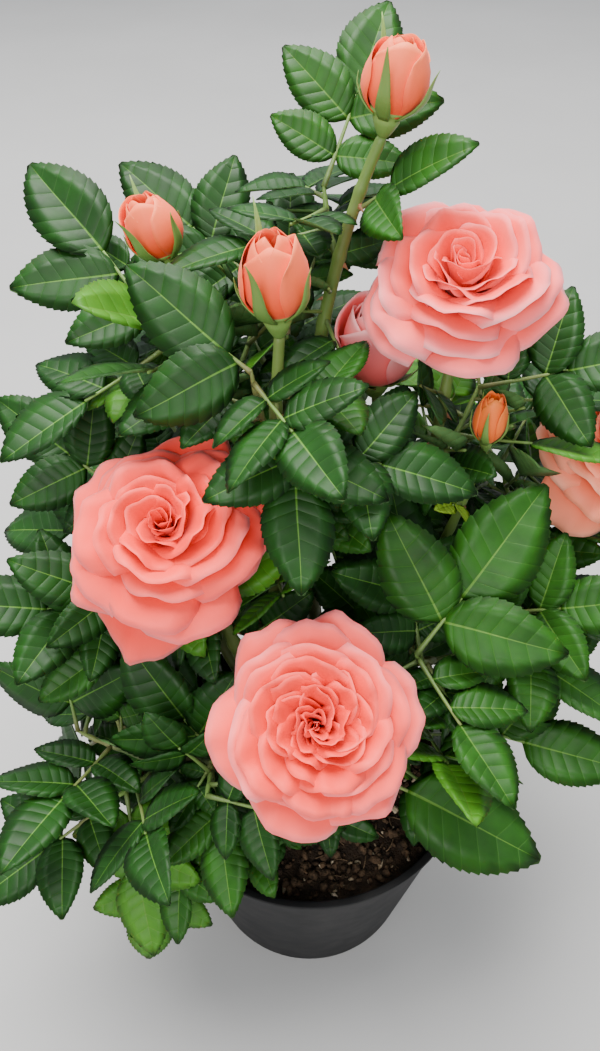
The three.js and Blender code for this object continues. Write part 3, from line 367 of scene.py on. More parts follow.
SINGLES = tuple(SinglePlan(*row) for row in (
    ("leaves_upper_left", "shoot_left_bud", 0.8, (-0.49, -0.59, 0.64),
     (0.6, 0.2, 0.75), 38, 0, 2.6, LeafTone.FRESH),
    ("leaves_top", "cane_top_bud", 0.88, (0.7, -0.31, 0.64),
     (0.3, -0.4, 0.86), 28, 1, 1.0, LeafTone.MIDDLE),
    ("leaves_top", "cane_top_bud", 0.78, (0.08, 0.76, 0.64),
     (0.3, -0.4, 0.86), 20, 1, 1.0, LeafTone.DEEP),
    ("leaves_top", "cane_top_bud", 0.72, (-0.75, -0.5, 0.3),
     (0.0, -0.5, 0.86), 24, 1, 0.9, LeafTone.DEEP),
    ("leaves_right_upper", "cane_right_bloom", 0.66, (-0.3, -0.75, 0.5),
     (-0.1, -0.5, 0.85), 14, 1, 1.2, LeafTone.YOUNG),
    ("leaves_right_upper", "shoot_half_open_bud", 0.45, (0.4, -0.8, 0.4),
     (0.1, -0.5, 0.85), 13, 1, 1.2, LeafTone.YOUNG),
    ("leaves_far_right", "shoot_small_bud", 0.72, (-0.6, -0.6, 0.4),
     (-0.1, -0.5, 0.85), 12, 1, 1.0, LeafTone.YOUNG),
    ("leaves_left", "bough_left", 0.31, (0.69, 0, 0.72),
     (0.3, -0.5, 0.8), 24, 1, 1.6, LeafTone.DEEP),
    ("leaves_left_mid", "bough_left_low", 0.79, (-0.87, 0.43, -0.26),
     (-0.3, -0.5, 0.8), 24, 1, 1.6, LeafTone.MIDDLE),
    ("leaves_right", "bough_right", 0.25, (-0.66, 0.29, 0.69),
     (0.3, -0.5, 0.8), 28, 1, 1.6, LeafTone.DEEP),
    ("leaves_upper_back", "shoot_left_bud", 0.92, (-0.78, 0.6, 0.18),
     (0, -0.8, 0.6), 20, 1, 2.2, LeafTone.DEEP),
    ("leaves_right", "bough_right", 0.43, (0.85, 0.53, -0.08),
     (0, -0.8, 0.6), 20, 0, 1.6, LeafTone.MIDDLE),
    ("leaves_far_right_back", "shoot_far_right_bloom", 0.9, (-0.28, 0.87, 0.4),
     (-0.3, -0.5, 0.8), 28, 1, 1.0, LeafTone.DEEP),
    ("leaves_far_right_back", "shoot_far_right_bloom", 0.63, (0.84, -0.4, 0.36),
     (0, -0.5, 0.86), 28, 0, 1.6, LeafTone.MIDDLE),
    ("leaves_right_upper", "cane_right_bloom", 0.85, (-0.68, -0.58, 0.45),
     (0, -0.8, 0.6), 20, 1, 1.6, LeafTone.DEEP),
    ("leaves_top", "cane_top_bud", 0.71, (0.23, -0.97, -0.09),
     (0, -0.8, 0.6), 24, 1, 1.6, LeafTone.DEEP),
    ("leaves_right_upper", "cane_right_bloom", 0.74, (0.36, -0.78, 0.51),
     (-0.3, -0.5, 0.8), 24, 1, 1.0, LeafTone.DEEP),
    ("leaves_top", "cane_top_bud", 0.73, (0.27, 0.83, 0.48),
     (0, -0.8, 0.6), 28, 1, 2.2, LeafTone.DEEP),
))

# Leaves of the first growth with a green of their own, by mass and by their turn in it.
TONED_LEAVES = {
    LeafTone.DEEP: (
        "leaves_left/1", "leaves_left_mid/1", "leaves_left_mid/3", "leaves_left_edge/1",
        "leaves_left_low/3", "leaves_top/1", "leaves_top/2", "leaves_top/4", "leaves_upper_left/2",
        "leaves_centre/1", "leaves_centre_left/1", "leaves_centre_left/3", "leaves_right/2",
    ),
    LeafTone.MIDDLE: (
        "leaves_top/lead", "leaves_right/lead", "leaves_right_low/lead", "leaves_right_front/lead",
        "leaves_far_right/lead", "leaves_right/1", "leaves_far_right/1", "leaves_far_right_back/3",
        "leaves_far_right_back/4",
    ),
    LeafTone.FRESH: ("leaves_front_left/lead", "leaves_left_low/2", "leaves_right_upper/5"),
}

LEAF_TONES = {owner: tone for tone, owners in TONED_LEAVES.items() for owner in owners}


def vec(numbers: Sequence[float]) -> Point:
    """Makes a vector of three floats."""
    return np.array(numbers, dtype=float)


def unit(vector: Sequence[float]) -> Point:
    """Returns a vector's direction."""
    made = vec(vector)
    return made / np.linalg.norm(made)


def square_to(vector: Point, axis: Point) -> Point:
    """Returns the unit part of a vector that is square to an axis."""
    return unit(vector - axis * vector.dot(axis))


def turned(points: Array, angle: float) -> Array:
    """Turns points about +Z.

    Args:
        points: Points in rows.
        angle: Angle in radians.

    Returns:
        The turned points.
    """
    cos, sin = math.cos(angle), math.sin(angle)
    spin = np.array(((cos, sin, 0.0), (-sin, cos, 0.0), (0.0, 0.0, 1.0)))
    return points @ spin


def even_angles(count: int) -> Array:
    """Returns the angles that part a whole turn evenly, from zero on."""
    return np.arange(count) / count * 2 * math.pi


def frame_of(axis: Point) -> Array:
    """Returns three rows, two square to an axis and the axis, that stand +Z on it."""
    side = square_to(vec((1.0, 0.0, 0.0)), axis)
    return np.array((side, np.cross(axis, side), axis))


@dataclass
class Seeded:
    """Repeatable random numbers from 0 to 1, from a row of whole numbers that starts at a seed."""

    state: int
    factor: int = 1664525
    step: int = 1013904223
    span: int = 2 ** 32

    def next(self) -> float:
        """Returns the next number."""
        self.state = (self.state * self.factor + self.step) % self.span
        return self.state / self.span

    def between(self, low: float, high: float) -> float:
        """Returns a number between two limits."""
        return low + (high - low) * self.next()


@dataclass
class Rod:
    """A straight piece of a limb, twig or leaf stalk."""

    start: Point
    end: Point
    radius: float
    owner: str


@dataclass
class Limb:
    """A tapering limb along a curve with one bend."""

    name: str
    start: Point
    bend: Point
    tip: Point
    radii: Pair
    flare: float = 0.0

    def point(self, t: float) -> Point:
        """Returns the point at a share of the length.

        Args:
            t: Share of the length.

        Returns:
            The point.
        """
        low = self.start + (self.bend - self.start) * t
        high = self.bend + (self.tip - self.bend) * t
        return low + (high - low) * t

    def tangent(self, t: float) -> Point:
        """Returns the direction at a share of the length."""
        low = self.bend - self.start
        return unit(low + (self.tip - self.bend - low) * t)

    def radius(self, t: float) -> float:
        """Returns the radius at a share of the length."""
        first, last = self.radii
        return first + (last - first) * t + self.flare * math.exp(-t / RULE.flare_share)

    def length(self) -> float:
        """Returns the length from start to tip over the bend's middle."""
        middle = self.point(0.5)
        return float(np.linalg.norm(middle - self.start) + np.linalg.norm(self.tip - middle))

    def rods(self, steps: int, owner: str) -> list[Rod]:
        """Returns the limb as straight rods, for keeping leaves clear of it."""
        return [Rod(self.point(i / steps), self.point((i + 1) / steps), self.radius(i / steps), owner)
                for i in range(steps)]


@dataclass
class Blade:
    """A leaflet's place: its root, its three directions and its size."""

    base: Point
    aim: Point
    side: Point
    face: Point
    length: float
    half_width: float
    centre: Point
    edge: Array
    owner: str


def make_blade(base: Point, aim: Point, face: Point, length: float, owner: str) -> Blade:
    """Works out a leaflet from its root, direction, upper side and length.

    Args:
        base: Root of the leaflet.
        aim: Unit direction from root to tip.
        face: Direction of the upper side.
        length: Length in millimetres.
        owner: Name of the leaf that it belongs to.

    Returns:
        The leaflet.
    """
    upper = square_to(face, aim)
    side = np.cross(upper, aim)
    centre = base + aim * (length / 2) - upper * (length * RULE.leaflet_droop * RULE.mean_droop)
    half_width = length * RULE.leaflet_width
    angles = even_angles(RULE.edge_points)
    edge = (centre + np.outer(np.cos(angles) * length / 2, aim)
            + np.outer(np.sin(angles) * half_width, side))
    return Blade(base, aim, side, upper, length, half_width, centre, edge, owner)


def over_blade(x: Array, y: Array, half: Array, wide: Array,
               room: Array) -> Array:
    """Says where points lie over a blade's ellipse that is made larger by some room."""
    return (x / (half + room)) ** 2 + (y / (wide + room)) ** 2 < 1


def lines_meet(a: Array, b: Array, half: Array, wide: Array,
               room: Array) -> bool:
    """Says whether any straight piece comes within some room of its blade.

    Args:
        a: Starts of the pieces in their blade's own frame.
        b: Ends of the pieces in the same frame.
        half: Half lengths of the blades, or one.
        wide: Half widths of the blades, or one.
        room: Room to keep, one for each piece or for all.

    Returns:
        True where at least one piece meets its blade.
    """
    for place in (a, (a + b) / 2, b):
        near = np.abs(place[..., 2]) < room
        if np.any(near & over_blade(place[..., 0], place[..., 1], half, wide, room)):
            return True
    span = a[..., 2] - b[..., 2]
    crosses = (a[..., 2] * b[..., 2] <= 0) & (span != 0)
    share = np.where(crosses, a[..., 2] / np.where(span == 0, 1, span), 0)
    cross = a + (b - a) * share[..., None]
    return bool(np.any(crosses & over_blade(cross[..., 0], cross[..., 1], half, wide, room)))


def distance_to_lines(points: Array, start: Array, end: Array) -> Array:
    """Returns distances from points, in rows, to straight pieces, in columns.

    Args:
        points: Points in rows.
        start: Starts of the pieces.
        end: Ends of the pieces.

    Returns:
        The distances.
    """
    way = end - start
    offset = points[:, None, :] - start
    share = np.clip((offset * way).sum(-1) / np.maximum((way * way).sum(-1), TINY), 0, 1)
    return np.linalg.norm(offset - way * share[..., None], axis=-1)


class Occupied:
    """Everything in place: leaf blades, straight rods and the domes of blooms."""

    def __init__(self) -> None:
        """Starts with nothing in place."""
        self.owners: dict[str, int] = {}
        self.rods: list[Rod] = []
        self.blades: list[Blade] = []
        self.domes: list[tuple[Point, Point, float, float]] = []
        self.blade_room = RULE.blade_room
        self.rod_room = RULE.rod_room
        self.dome_room = RULE.dome_room
        self._rod_table: tuple[Array, ...] = ()
        self._blade_table: tuple[Array, ...] = ()

    def number(self, owner: str) -> int:
        """Returns the number that stands for an owner's name."""
        return self.owners.setdefault(owner, len(self.owners))

    def add(self, rods: Iterable[Rod] = (), blades: Iterable[Blade] = ()) -> None:
        """Puts rods and blades in place.

        Args:
            rods: New rods.
            blades: New blades.
        """
        self.rods.extend(rods)
        self.blades.extend(blades)
        self._rod_table = ()
        self._blade_table = ()

    def rod_table(self) -> tuple[Array, ...]:
        """Returns the rods' starts, ends, radii and owners as arrays.

        Returns:
            The arrays.
        """
        if not self._rod_table:
            rods = self.rods
            self._rod_table = (
                np.array([r.start for r in rods]), np.array([r.end for r in rods]),
                np.array([r.radius for r in rods]), np.array([self.number(r.owner) for r in rods]))
        return self._rod_table

    def blade_table(self) -> tuple[Array, ...]:
        """Returns the blades' centres, frames, lengths, half widths, edges and owners as arrays.

        Returns:
            The arrays.
        """
        if not self._blade_table and self.blades:
            blades = self.blades
            self._blade_table = (
                np.array([b.centre for b in blades]),
                np.array([(b.aim, b.side, b.face) for b in blades]),
                np.array([b.length for b in blades]), np.array([b.half_width for b in blades]),
                np.array([b.edge for b in blades]), np.array([self.number(b.owner) for b in blades]))
        return self._blade_table

    def blocks(self, points: Array, room: float) -> bool:
        """Says whether a point lies in a bloom, in the pot, or too near to the ground.

        Args:
            points: Points in rows.
            room: Room that they keep.

        Returns:
            True where a point is in the way.
        """
        if np.any(points[:, 2] < RULE.lowest_leaf):
            return True
        out = np.hypot(points[:, 0], points[:, 1])
        if np.any((points[:, 2] < RULE.pot_height + room) & (out < RULE.pot_rim_radius + room)):
            return True
        for centre, axis, radius, depth in self.domes:
            offset = points - centre
            height = offset @ axis
            square = (offset * offset).sum(1) - height * height
            if np.any(square / (radius + room) ** 2 + (height / (depth + room)) ** 2 < 1):
                return True
        return False

    def rods_meet(self, blade: Blade, start: Array, end: Array, radius: Array) -> bool:
        """Says whether rods near to a blade come within the rod room of it.

        Args:
            blade: The leaflet.
            start: Starts of the rods.
            end: Ends of the rods.
            radius: Radii of the rods.

        Returns:
            True where a rod comes too near.
        """
        span = np.linalg.norm(end - start, axis=1)
        near = np.linalg.norm(start - blade.centre, axis=1) < blade.length + span
        if not near.any():
            return False
        axes = np.array((blade.aim, blade.side, blade.face))
        a = (start[near] - blade.centre) @ axes.T
        b = (end[near] - blade.centre) @ axes.T
        return lines_meet(a, b, blade.length / 2, blade.half_width, radius[near] + self.rod_room)

    def is_blade_clear(self, blade: Blade, owner: str) -> bool:
        """Says whether a new blade stays clear of all but what one owner holds.

        Args:
            blade: The new leaflet.
            owner: The leaf that it belongs to.

        Returns:
            True where it has room.
        """
        if self.blocks(np.vstack((blade.edge, blade.centre)), self.dome_room):
            return False
        mine = self.number(owner)
        if self.blades:
            centre, axes, length, wide, edge, owners = self.blade_table()
            reach = (blade.length + length) / 2 + self.blade_room
            near = (owners != mine) & (np.linalg.norm(centre - blade.centre, axis=1) < reach)
            if near.any():
                room = self.blade_room
                a = np.einsum("kmj,kij->kmi", blade.edge[None] - centre[near][:, None], axes[near])
                half, side = length[near][:, None] / 2, wide[near][:, None]
                if lines_meet(a, np.roll(a, -1, axis=1), half, side, room):
                    return False
                own = np.array((blade.aim, blade.side, blade.face))
                c = (edge[near] - blade.centre) @ own.T
                if lines_meet(c, np.roll(c, -1, axis=1), blade.length / 2, blade.half_width, room):
                    return False
        start, end, radius, owners = self.rod_table()
        other = owners != mine
        return not self.rods_meet(blade, start[other], end[other], radius[other])

    def is_rod_clear(self, rod: Rod, owners: Sequence[str]) -> bool:
        """Says whether a new rod stays clear of all but what its owners hold.

        Args:
            rod: The new rod.
            owners: Names that it may touch.

        Returns:
            True where it has room.
        """
        shares = np.array(RULE.rod_samples)[:, None]
        samples = rod.start + (rod.end - rod.start) * shares
        if self.blocks(samples, self.rod_room):
            return False
        own = [self.number(owner) for owner in owners]
        start, end, radius, held = self.rod_table()
        other = ~np.isin(held, own)
        gaps = distance_to_lines(samples, start[other], end[other])
        if np.any(gaps < rod.radius + radius[other] + self.rod_room):
            return False
        for blade in self.blades:
            reach = blade.length + float(np.linalg.norm(rod.end - rod.start))
            if self.number(blade.owner) in own or np.linalg.norm(rod.start - blade.centre) >= reach:
                continue
            if self.rods_meet(blade, rod.start[None], rod.end[None], np.array((rod.radius,))):
                return False
        return True


@dataclass
class LeafPlace:
    """A planned compound leaf: its stalk, its leaflets and how they are held."""

    node: Point
    aim: Point
    face: Point
    tip: Point
    owner: str
    blades: list[Blade] = field(default_factory=list)
    rachis: Rod | None = None
    size: float = 0.0
    tone: LeafTone | None = None


def plan_leaf(node: Point, aim: Point, face: Point, size: float, pairs: int, stalk: float,
              owner: str) -> LeafPlace:
    """Plans a compound leaf with its pairs of leaflets, and the end leaflet as the first one.

    Args:
        node: Where the leaf leaves its twig.
        aim: Unit direction of the stalk.
        face: Direction of the upper side.
        size: Length of the end leaflet.
        pairs: How many pairs of leaflets it has.
        stalk: Share by which the stalk is shortened.
        owner: The leaf's own name.

    Returns:
        The planned leaf.
    """
    upper = square_to(face, aim)
    side = np.cross(upper, aim)
    blades = []
    for step in range(pairs):
        level = pairs - 1 - step
        root = node + aim * (size * stalk * (RULE.petiole + RULE.pair_step * step))
        angle = math.radians(RULE.pair_angles[level])
        for hand in (1, -1):
            out = aim * math.cos(angle) + side * (hand * math.sin(angle)) + upper * RULE.pair_lift
            blades.append(make_blade(root, unit(out), upper, size * RULE.pair_sizes[level], owner))
    end = size * stalk * (RULE.petiole + RULE.pair_step * (pairs - 1) + RULE.end_step)
    tip = node + aim * end
    blades.insert(0, make_blade(tip, aim, upper, size, owner))
    return LeafPlace(node, aim, upper, tip, owner, blades, size=size)


def branch_start(carrier: Limb, at: float, aim: Point, radius: float) -> Point:
    """Returns where a side limb starts: its radius and the clearance away from its carrier.

    Args:
        carrier: The limb that it leaves.
        at: Share of the carrier's length.
        aim: Unit direction in which it leaves.
        radius: Its radius there.

    Returns:
        The start point.
    """
    slope = aim.dot(carrier.tangent(at))
    square = math.sqrt(max(1 - slope * slope, RULE.least_square ** 2))
    if at == 1:
        offset = (RULE.clearance + radius * square) / max(slope, RULE.least_slope)
    else:
        offset = (carrier.radius(at) + RULE.clearance + radius * abs(slope)) / square
    return carrier.point(at) + aim * offset


@dataclass
class Head:
    """A bloom or bud with its axis, its foot and its scale worked out."""

    plan: HeadPlan

    def __post_init__(self) -> None:
        """Works out where the head's foot stands."""
        self.axis = unit(self.plan.axis)
        self.centre = vec(self.plan.centre)
        self.is_bloom = self.plan.length == 0
        self.scale = self.plan.width / RULE.bloom_width
        below = RULE.bloom_foot * self.scale if self.is_bloom else self.plan.length / 2
        self.foot = self.centre - self.axis * below

    def placed(self, points: Array) -> Array:
        """Stands points of the head's own shape, with its foot at zero, on its limb."""
        return self.foot + points @ frame_of(self.axis)


def tip_under(head: Head, bend: Point, radius: float) -> Point:
    """Returns a limb's tip: the clearance under a head, also where the limb comes in aslant."""
    slope = unit(head.foot - bend).dot(head.axis)
    return head.foot - head.axis * (RULE.clearance + radius * math.sqrt(1 - slope * slope))


def side_limb(name: str, carrier: Limb, at: float, tip: Point, radii: Pair,
              head: Head | None = None) -> Limb:
    """Makes a limb that leaves another one, runs outward, and turns up to its tip or its head.

    Args:
        name: Name of the new limb.
        carrier: The limb that it leaves.
        at: Share of the carrier's length.
        tip: Where it ends, when it carries no head.
        radii: Its radii at start and tip.
        head: The head that it carries, if any.

    Returns:
        The limb.
    """
    origin = carrier.point(at)
    way = (head.foot if head else tip) - origin
    bend = origin + vec((way[0], way[1], 0)) * RULE.bend_out + UP * (way[2] * RULE.bend_up)
    end = tip_under(head, bend, radii[1]) if head else tip
    return Limb(name, branch_start(carrier, at, unit(bend - origin), radii[0]), bend, end, radii)


class Spray:
    """A mass of leaves: twigs that branch from one stem, with compound leaves on them."""

    def __init__(self, plan: SprayPlan, carrier: Limb, index: int, occupied: Occupied) -> None:
        """Puts the stem of a mass in place.

        Args:
            plan: The mass's plan.
            carrier: The limb that bears it.
            index: Its number among the masses.
            occupied: Everything in place.
        """
        self.plan = plan
        self.index = index
        self.occupied = occupied
        self.random = Seeded(RULE.seed_step * (index + 1))
        self.stem = side_limb(plan.name, carrier, plan.at, vec(plan.tip), RULE.twig_radii)
        self.root = carrier.point(plan.at)
        self.occupied.add(self.stem.rods(RULE.twig_steps, plan.name))
        self.twigs: list[Limb] = [self.stem]
        self.leaves: list[LeafPlace] = []
        self.bearers: tuple[str, ...] = (plan.name,)
        self.count = 0

    def trimmed(self, leaf: LeafPlace) -> LeafPlace:
        """Returns a planned leaf with only the leaflets that have room.

        Args:
            leaf: The planned leaf.

        Returns:
            A copy of it with its stalk.
        """
        rachis = Rod(leaf.node, leaf.tip, RULE.rachis_room, leaf.owner)
        kept: list[Blade] = []
        if self.occupied.is_rod_clear(rachis, (*self.bearers, leaf.owner)):
            reach = self.plan.size * RULE.spray_reach
            for blade in leaf.blades:
                way = distance_to_lines(blade.centre[None], self.stem.start[None], self.stem.tip[None])
                if way[0, 0] < reach and self.occupied.is_blade_clear(blade, leaf.owner):
                    kept.append(blade)
        return replace(leaf, blades=kept, rachis=rachis)

    def put(self, leaf: LeafPlace) -> None:
        """Puts a leaf in place with the leaflets that have room.

        Args:
            leaf: The trimmed leaf.
        """
        if leaf.blades:
            self.leaves.append(leaf)
            self.occupied.add((leaf.rachis,), leaf.blades)

    def grow_lead(self) -> None:
        """Grows the lead leaf at the stem's tip."""
        lead = self.plan.lead
        leaf = self.trimmed(plan_leaf(
            self.stem.point(RULE.lead_at), unit(lead.aim), unit(lead.face), lead.size, lead.pairs,
            lead.stalk, f"{self.plan.name}/lead"))
        leaf.tone = LEAF_TONES.get(leaf.owner, LeafTone.DEEP)
        self.put(leaf)

    def grow_leaf(self, twig: Limb, at: float, angle: float, size: float) -> None:
        """Grows one leaf, turned or lifted until as many leaflets as can have room.

        Args:
            twig: The twig that bears it.
            at: Share of the twig's length.
            angle: Angle round the twig.
            size: Length of the end leaflet before its own chance.
        """
        self.count += 1
        owner = f"{self.plan.name}/{self.count}"
        node = twig.point(at)
        axis = twig.tangent(at)
        across = square_to(vec((node[1] - RULE.crown_middle, -node[0], 0)), axis)
        third = np.cross(axis, across)
        size *= self.random.between(*RULE.size_range)
        sway = vec((self.random.between(*RULE.face_sway), self.random.between(*RULE.face_sway), 0))
        outward = unit((node[0], node[1] - RULE.crown_middle, 0))
        face = unit(vec(RULE.light) + sway + outward * RULE.face_out)
        best: LeafPlace | None = None
        for lift in RULE.retry_lifts:
            for turn in RULE.retry_turns:
                way = angle + math.radians(turn)
                aim = unit(axis * RULE.leaf_rise + across * math.cos(way) + third * math.sin(way)
                           + UP * lift)
                leaf = self.trimmed(plan_leaf(node, aim, face, size, RULE.leaf_pairs, 1.0, owner))
                if len(leaf.blades) > (len(best.blades) if best else 0):
                    best = leaf
        if best:
            self.put(best)

    def grow_twig(self, at: float, angle: float, share: float, size: float) -> Limb | None:
        """Grows a side twig with its leaves, if the twig has room.

        Args:
            at: Share of the stem's length.
            angle: Angle round the stem.
            share: The twig's length as a share of the stem's.
            size: Length of its leaves' end leaflets.

        Returns:
            The twig, or nothing where it has no room.
        """
        axis = self.stem.tangent(at)
        across = square_to(UP, axis)
        around = across * math.cos(angle) + np.cross(axis, across) * math.sin(angle)
        reach = float(np.linalg.norm(self.stem.tip - self.stem.start)) * share
        node = self.stem.point(at)
        tip = node + axis * (reach * RULE.side_twig_ahead) + around * (reach * RULE.side_twig_aside)
        tip = tip + UP * (reach * RULE.side_twig_rise)
        bend = (node + tip) / 2 - UP * (reach * RULE.side_twig_sag)
        twig = Limb(self.plan.name, node, bend, tip, RULE.side_twig_radii)
        rods = twig.rods(RULE.twig_steps, self.plan.name)
        if not all(self.occupied.is_rod_clear(rod, (self.plan.name,)) for rod in rods):
            return None
        self.occupied.add(rods)
        self.twigs.append(twig)
        self.grow_leaf(twig, RULE.side_leaf_at, angle + RULE.leaf_turn, size)
        self.grow_leaf(twig, RULE.lead_at, angle, size)
        return twig

    def grow(self) -> None:
        """Grows the side twigs and then all leaves but the lead one, as in the solids."""
        size = self.plan.size
        start = self.random.between(0, 2 * math.pi)
        for i in range(self.plan.twigs):
            angle = start + RULE.side_twig_turn + math.pi * i
            self.grow_twig(RULE.side_twig_at, angle, RULE.side_twig_share, size)
        for i in range(self.plan.leaves):
            at = RULE.first_leaf_at - RULE.leaf_span * i / self.plan.leaves
            self.grow_leaf(self.stem, at, start + RULE.leaf_turn * i, size)

    def grow_single(self, plan: SinglePlan, limb: Limb) -> None:
        """Grows a small leaf of its own green straight on a limb.

        Args:
            plan: The leaf's plan.
            limb: The limb that bears it.
        """
        self.count += 1
        self.bearers = (self.plan.name, limb.name)
        leaf = self.trimmed(plan_leaf(
            limb.point(plan.at), unit(plan.aim), unit(plan.face), plan.size, plan.pairs, plan.stalk,
            f"{self.plan.name}/{self.count}"))
        leaf.tone = plan.tone
        self.put(leaf)

    def grow_fine(self, carrier: Limb, plan: FinePlan) -> None:
        """Carries the rule on with thinner twigs and smaller leaves within the same reach.

        Args:
            carrier: The limb that bears the mass, which gets small leaves of its own.
            plan: How many twigs and leaves are tried, and how large they are.
        """
        self.bearers = (self.plan.name,)
        for i in range(plan.twigs):
            angle = self.random.between(0, 2 * math.pi)
            share = self.random.between(*plan.twig_shares)
            size = self.plan.size * self.random.between(*plan.sizes)
            self.grow_twig(plan.twig_from + plan.twig_span * i / plan.twigs, angle, share, size)
        for twig in list(self.twigs):
            self.grow_row(twig, plan.row_span, plan.leaves, plan.sizes)
        self.bearers = (self.plan.name, carrier.name)
        first, last = plan.carrier_ends
        span = (max(self.plan.at - plan.carrier_span, first),
                min(self.plan.at + plan.carrier_span, last))
        self.grow_row(carrier, span, plan.carrier_leaves, plan.sizes)

    def grow_row(self, limb: Limb, span: Pair, leaves: int, sizes: Pair) -> None:
        """Grows a row of leaves along a limb.

        Args:
            limb: The limb that bears them.
            span: Shares of its length between which they stand.
            leaves: How many are tried.
            sizes: Least and greatest size as shares of the mass's own.
        """
        start = self.random.between(0, 2 * math.pi)
        for i in range(leaves):
            at = span[0] + (span[1] - span[0]) * (i + 0.5) / leaves
            size = self.plan.size * self.random.between(*sizes)
            self.grow_leaf(limb, at, start + RULE.leaf_turn * i, size)


class Skeleton:
    """Limbs, heads and leaf places of the whole plant."""

    def __init__(self) -> None:
        """Works out every limb and grows every mass."""
        self.heads = {plan.name: Head(plan) for plan in HEADS}
        self.limbs: dict[str, Limb] = {}
        self.roots: dict[str, Point] = {}
        self._make_limbs()
        self.occupied = Occupied()
        self._occupy()
        self.sprays = [Spray(plan, self.limbs[plan.limb], i, self.occupied)
                       for i, plan in enumerate(SPRAYS)]
        for spray in self.sprays:
            spray.grow_lead()
        for spray in self.sprays:
            spray.grow()

    def _make_limbs(self) -> None:
        """Makes every limb, in the order in which each is carried by an earlier one."""
        for cane in CANES:
            bend = vec(cane.bend)
            tip = tip_under(self.heads[cane.head], bend, RULE.cane_radii[1])
            start = vec((*cane.foot, RULE.soil_top))
            self.limbs[cane.name] = Limb(cane.name, start, bend, tip, RULE.cane_radii, RULE.flare_radius)
        for branches, radii in ((SHOOTS, RULE.shoot_radii), (BOUGHS, RULE.bough_radii)):
            for plan in branches:
                carrier = self.limbs[plan.limb]
                self.roots[plan.name] = carrier.point(plan.at)
                self.limbs[plan.name] = side_limb(plan.name, carrier, plan.at, vec(plan.tip), radii,
                                                  self.heads.get(plan.head))

    def _occupy(self) -> None:
        """Fills the room of the limbs, blooms and buds, so that leaves keep clear of them."""
        rods = [rod for limb in self.limbs.values() for rod in limb.rods(RULE.limb_rods, limb.name)]
        for head in self.heads.values():
            foot, axis, plan = head.foot, head.axis, head.plan
            if head.is_bloom:
                radius, depth = RULE.dome_radius * head.scale, RULE.dome_depth * head.scale
                self.occupied.domes.append((head.centre, axis, radius, depth))
                rods.append(Rod(foot, head.centre, RULE.hip_radius, plan.name))
            else:
                rods += [Rod(foot + axis * plan.length * low, foot + axis * plan.length * high,
                             plan.width * share, plan.name) for low, high, share in RULE.bud_rods]
        self.occupied.add(rods)

    def grow_fine(self, plan: FinePlan) -> None:
        """Carries every mass finer, with less room between its smaller leaves.

        Every head keeps a free lane toward the light, which no small leaf grows into.

        Args:
            plan: How far the masses are carried on.
        """
        sprays = {spray.plan.name: spray for spray in self.sprays}
        self.occupied.blade_room = plan.room
        self.occupied.rod_room = plan.room
        for single in SINGLES:
            sprays[single.spray].grow_single(single, self.limbs[single.limb])
        for head in self.heads.values():
            width = head.plan.width
            start = head.centre + head.axis * (width * plan.lane_from)
            end = start + unit(plan.lane_way) * plan.lane
            self.occupied.add([Rod(start, end, width * plan.lane_share, head.plan.name)])
        for spray in self.sprays:
            spray.grow_fine(self.limbs[spray.plan.limb], plan)


class Gathered:
    """Points in millimetres and faces that are gathered until they become one mesh."""

    def __init__(self) -> None:
        """Starts with nothing gathered."""
        self.points: list[Array] = []
        self.tints: list[Array] = []
        self.marks: list[Array] = []
        self.faces: list[list[int]] = []
        self.slots: list[int] = []
        self.count = 0

    def add(self, points: Array, faces: Iterable[Sequence[int]], slots: int | Sequence[int] = 0,
            tints: Array | float = 0.0, marks: Array | None = None) -> None:
        """Adds one closed shape.

        Args:
            points: Its points in millimetres.
            faces: Its faces, as rows of point numbers.
            slots: The material slot of all its faces, or of each.
            tints: The colour share of all its points, or of each.
            marks: The places of its points on the UV map, if the piece has one.
        """
        if marks is not None:
            self.marks.append(marks)
        made = [[index + self.count for index in face] for face in faces]
        self.points.append(points)
        self.tints.append(np.broadcast_to(np.asarray(tints, dtype=float), (len(points),)))
        self.faces.extend(made)
        self.slots.extend([slots] * len(made) if isinstance(slots, int) else slots)
        self.count += len(points)

    def make(self, name: str, finishes: Sequence[Material]) -> bpy.types.Object:
        """Makes one smooth mesh object of all that is gathered.

        Args:
            name: Name of the object and its mesh.
            finishes: Materials in the order of the slots.

        Returns:
            The new object.
        """
        mesh = bpy.data.meshes.new(name)
        mesh.from_pydata(np.vstack(self.points) * MM, [], self.faces)
        for finish in finishes:
            mesh.materials.append(finish)
        mesh.polygons.foreach_set("material_index", np.array(self.slots, dtype=np.int32))
        mesh.polygons.foreach_set("use_smooth", np.ones(len(self.faces), dtype=bool))
        tint = mesh.attributes.new("tint", "FLOAT", "POINT")
        tint.data.foreach_set("value", np.concatenate(self.tints).astype(np.float32))
        if self.marks:
            corners = np.empty(len(mesh.loops), dtype=np.int32)
            mesh.loops.foreach_get("vertex_index", corners)
            layer = mesh.uv_layers.new(name=VEIN_MAP)
            layer.data.foreach_set("uv", np.vstack(self.marks)[corners].astype(np.float32).ravel())
        mesh.update()
        made = bpy.data.objects.new(name, mesh)
        bpy.context.scene.collection.objects.link(made)
        return made


def ring_faces(rings: int, sides: int) -> list[list[int]]:
    """Returns the faces of a row of rings, closed by its first ring and its last.

    Args:
        rings: How many rings.
        sides: Points of each ring.

    Returns:
        The faces.
    """
    faces = []
    for first in range(0, (rings - 1) * sides, sides):
        after = first + sides
        for j in range(sides):
            k = (j + 1) % sides
            faces.append([first + j, first + k, after + k, after + j])
    faces.append(list(range(sides))[::-1])
    faces.append([(rings - 1) * sides + j for j in range(sides)])
    return faces


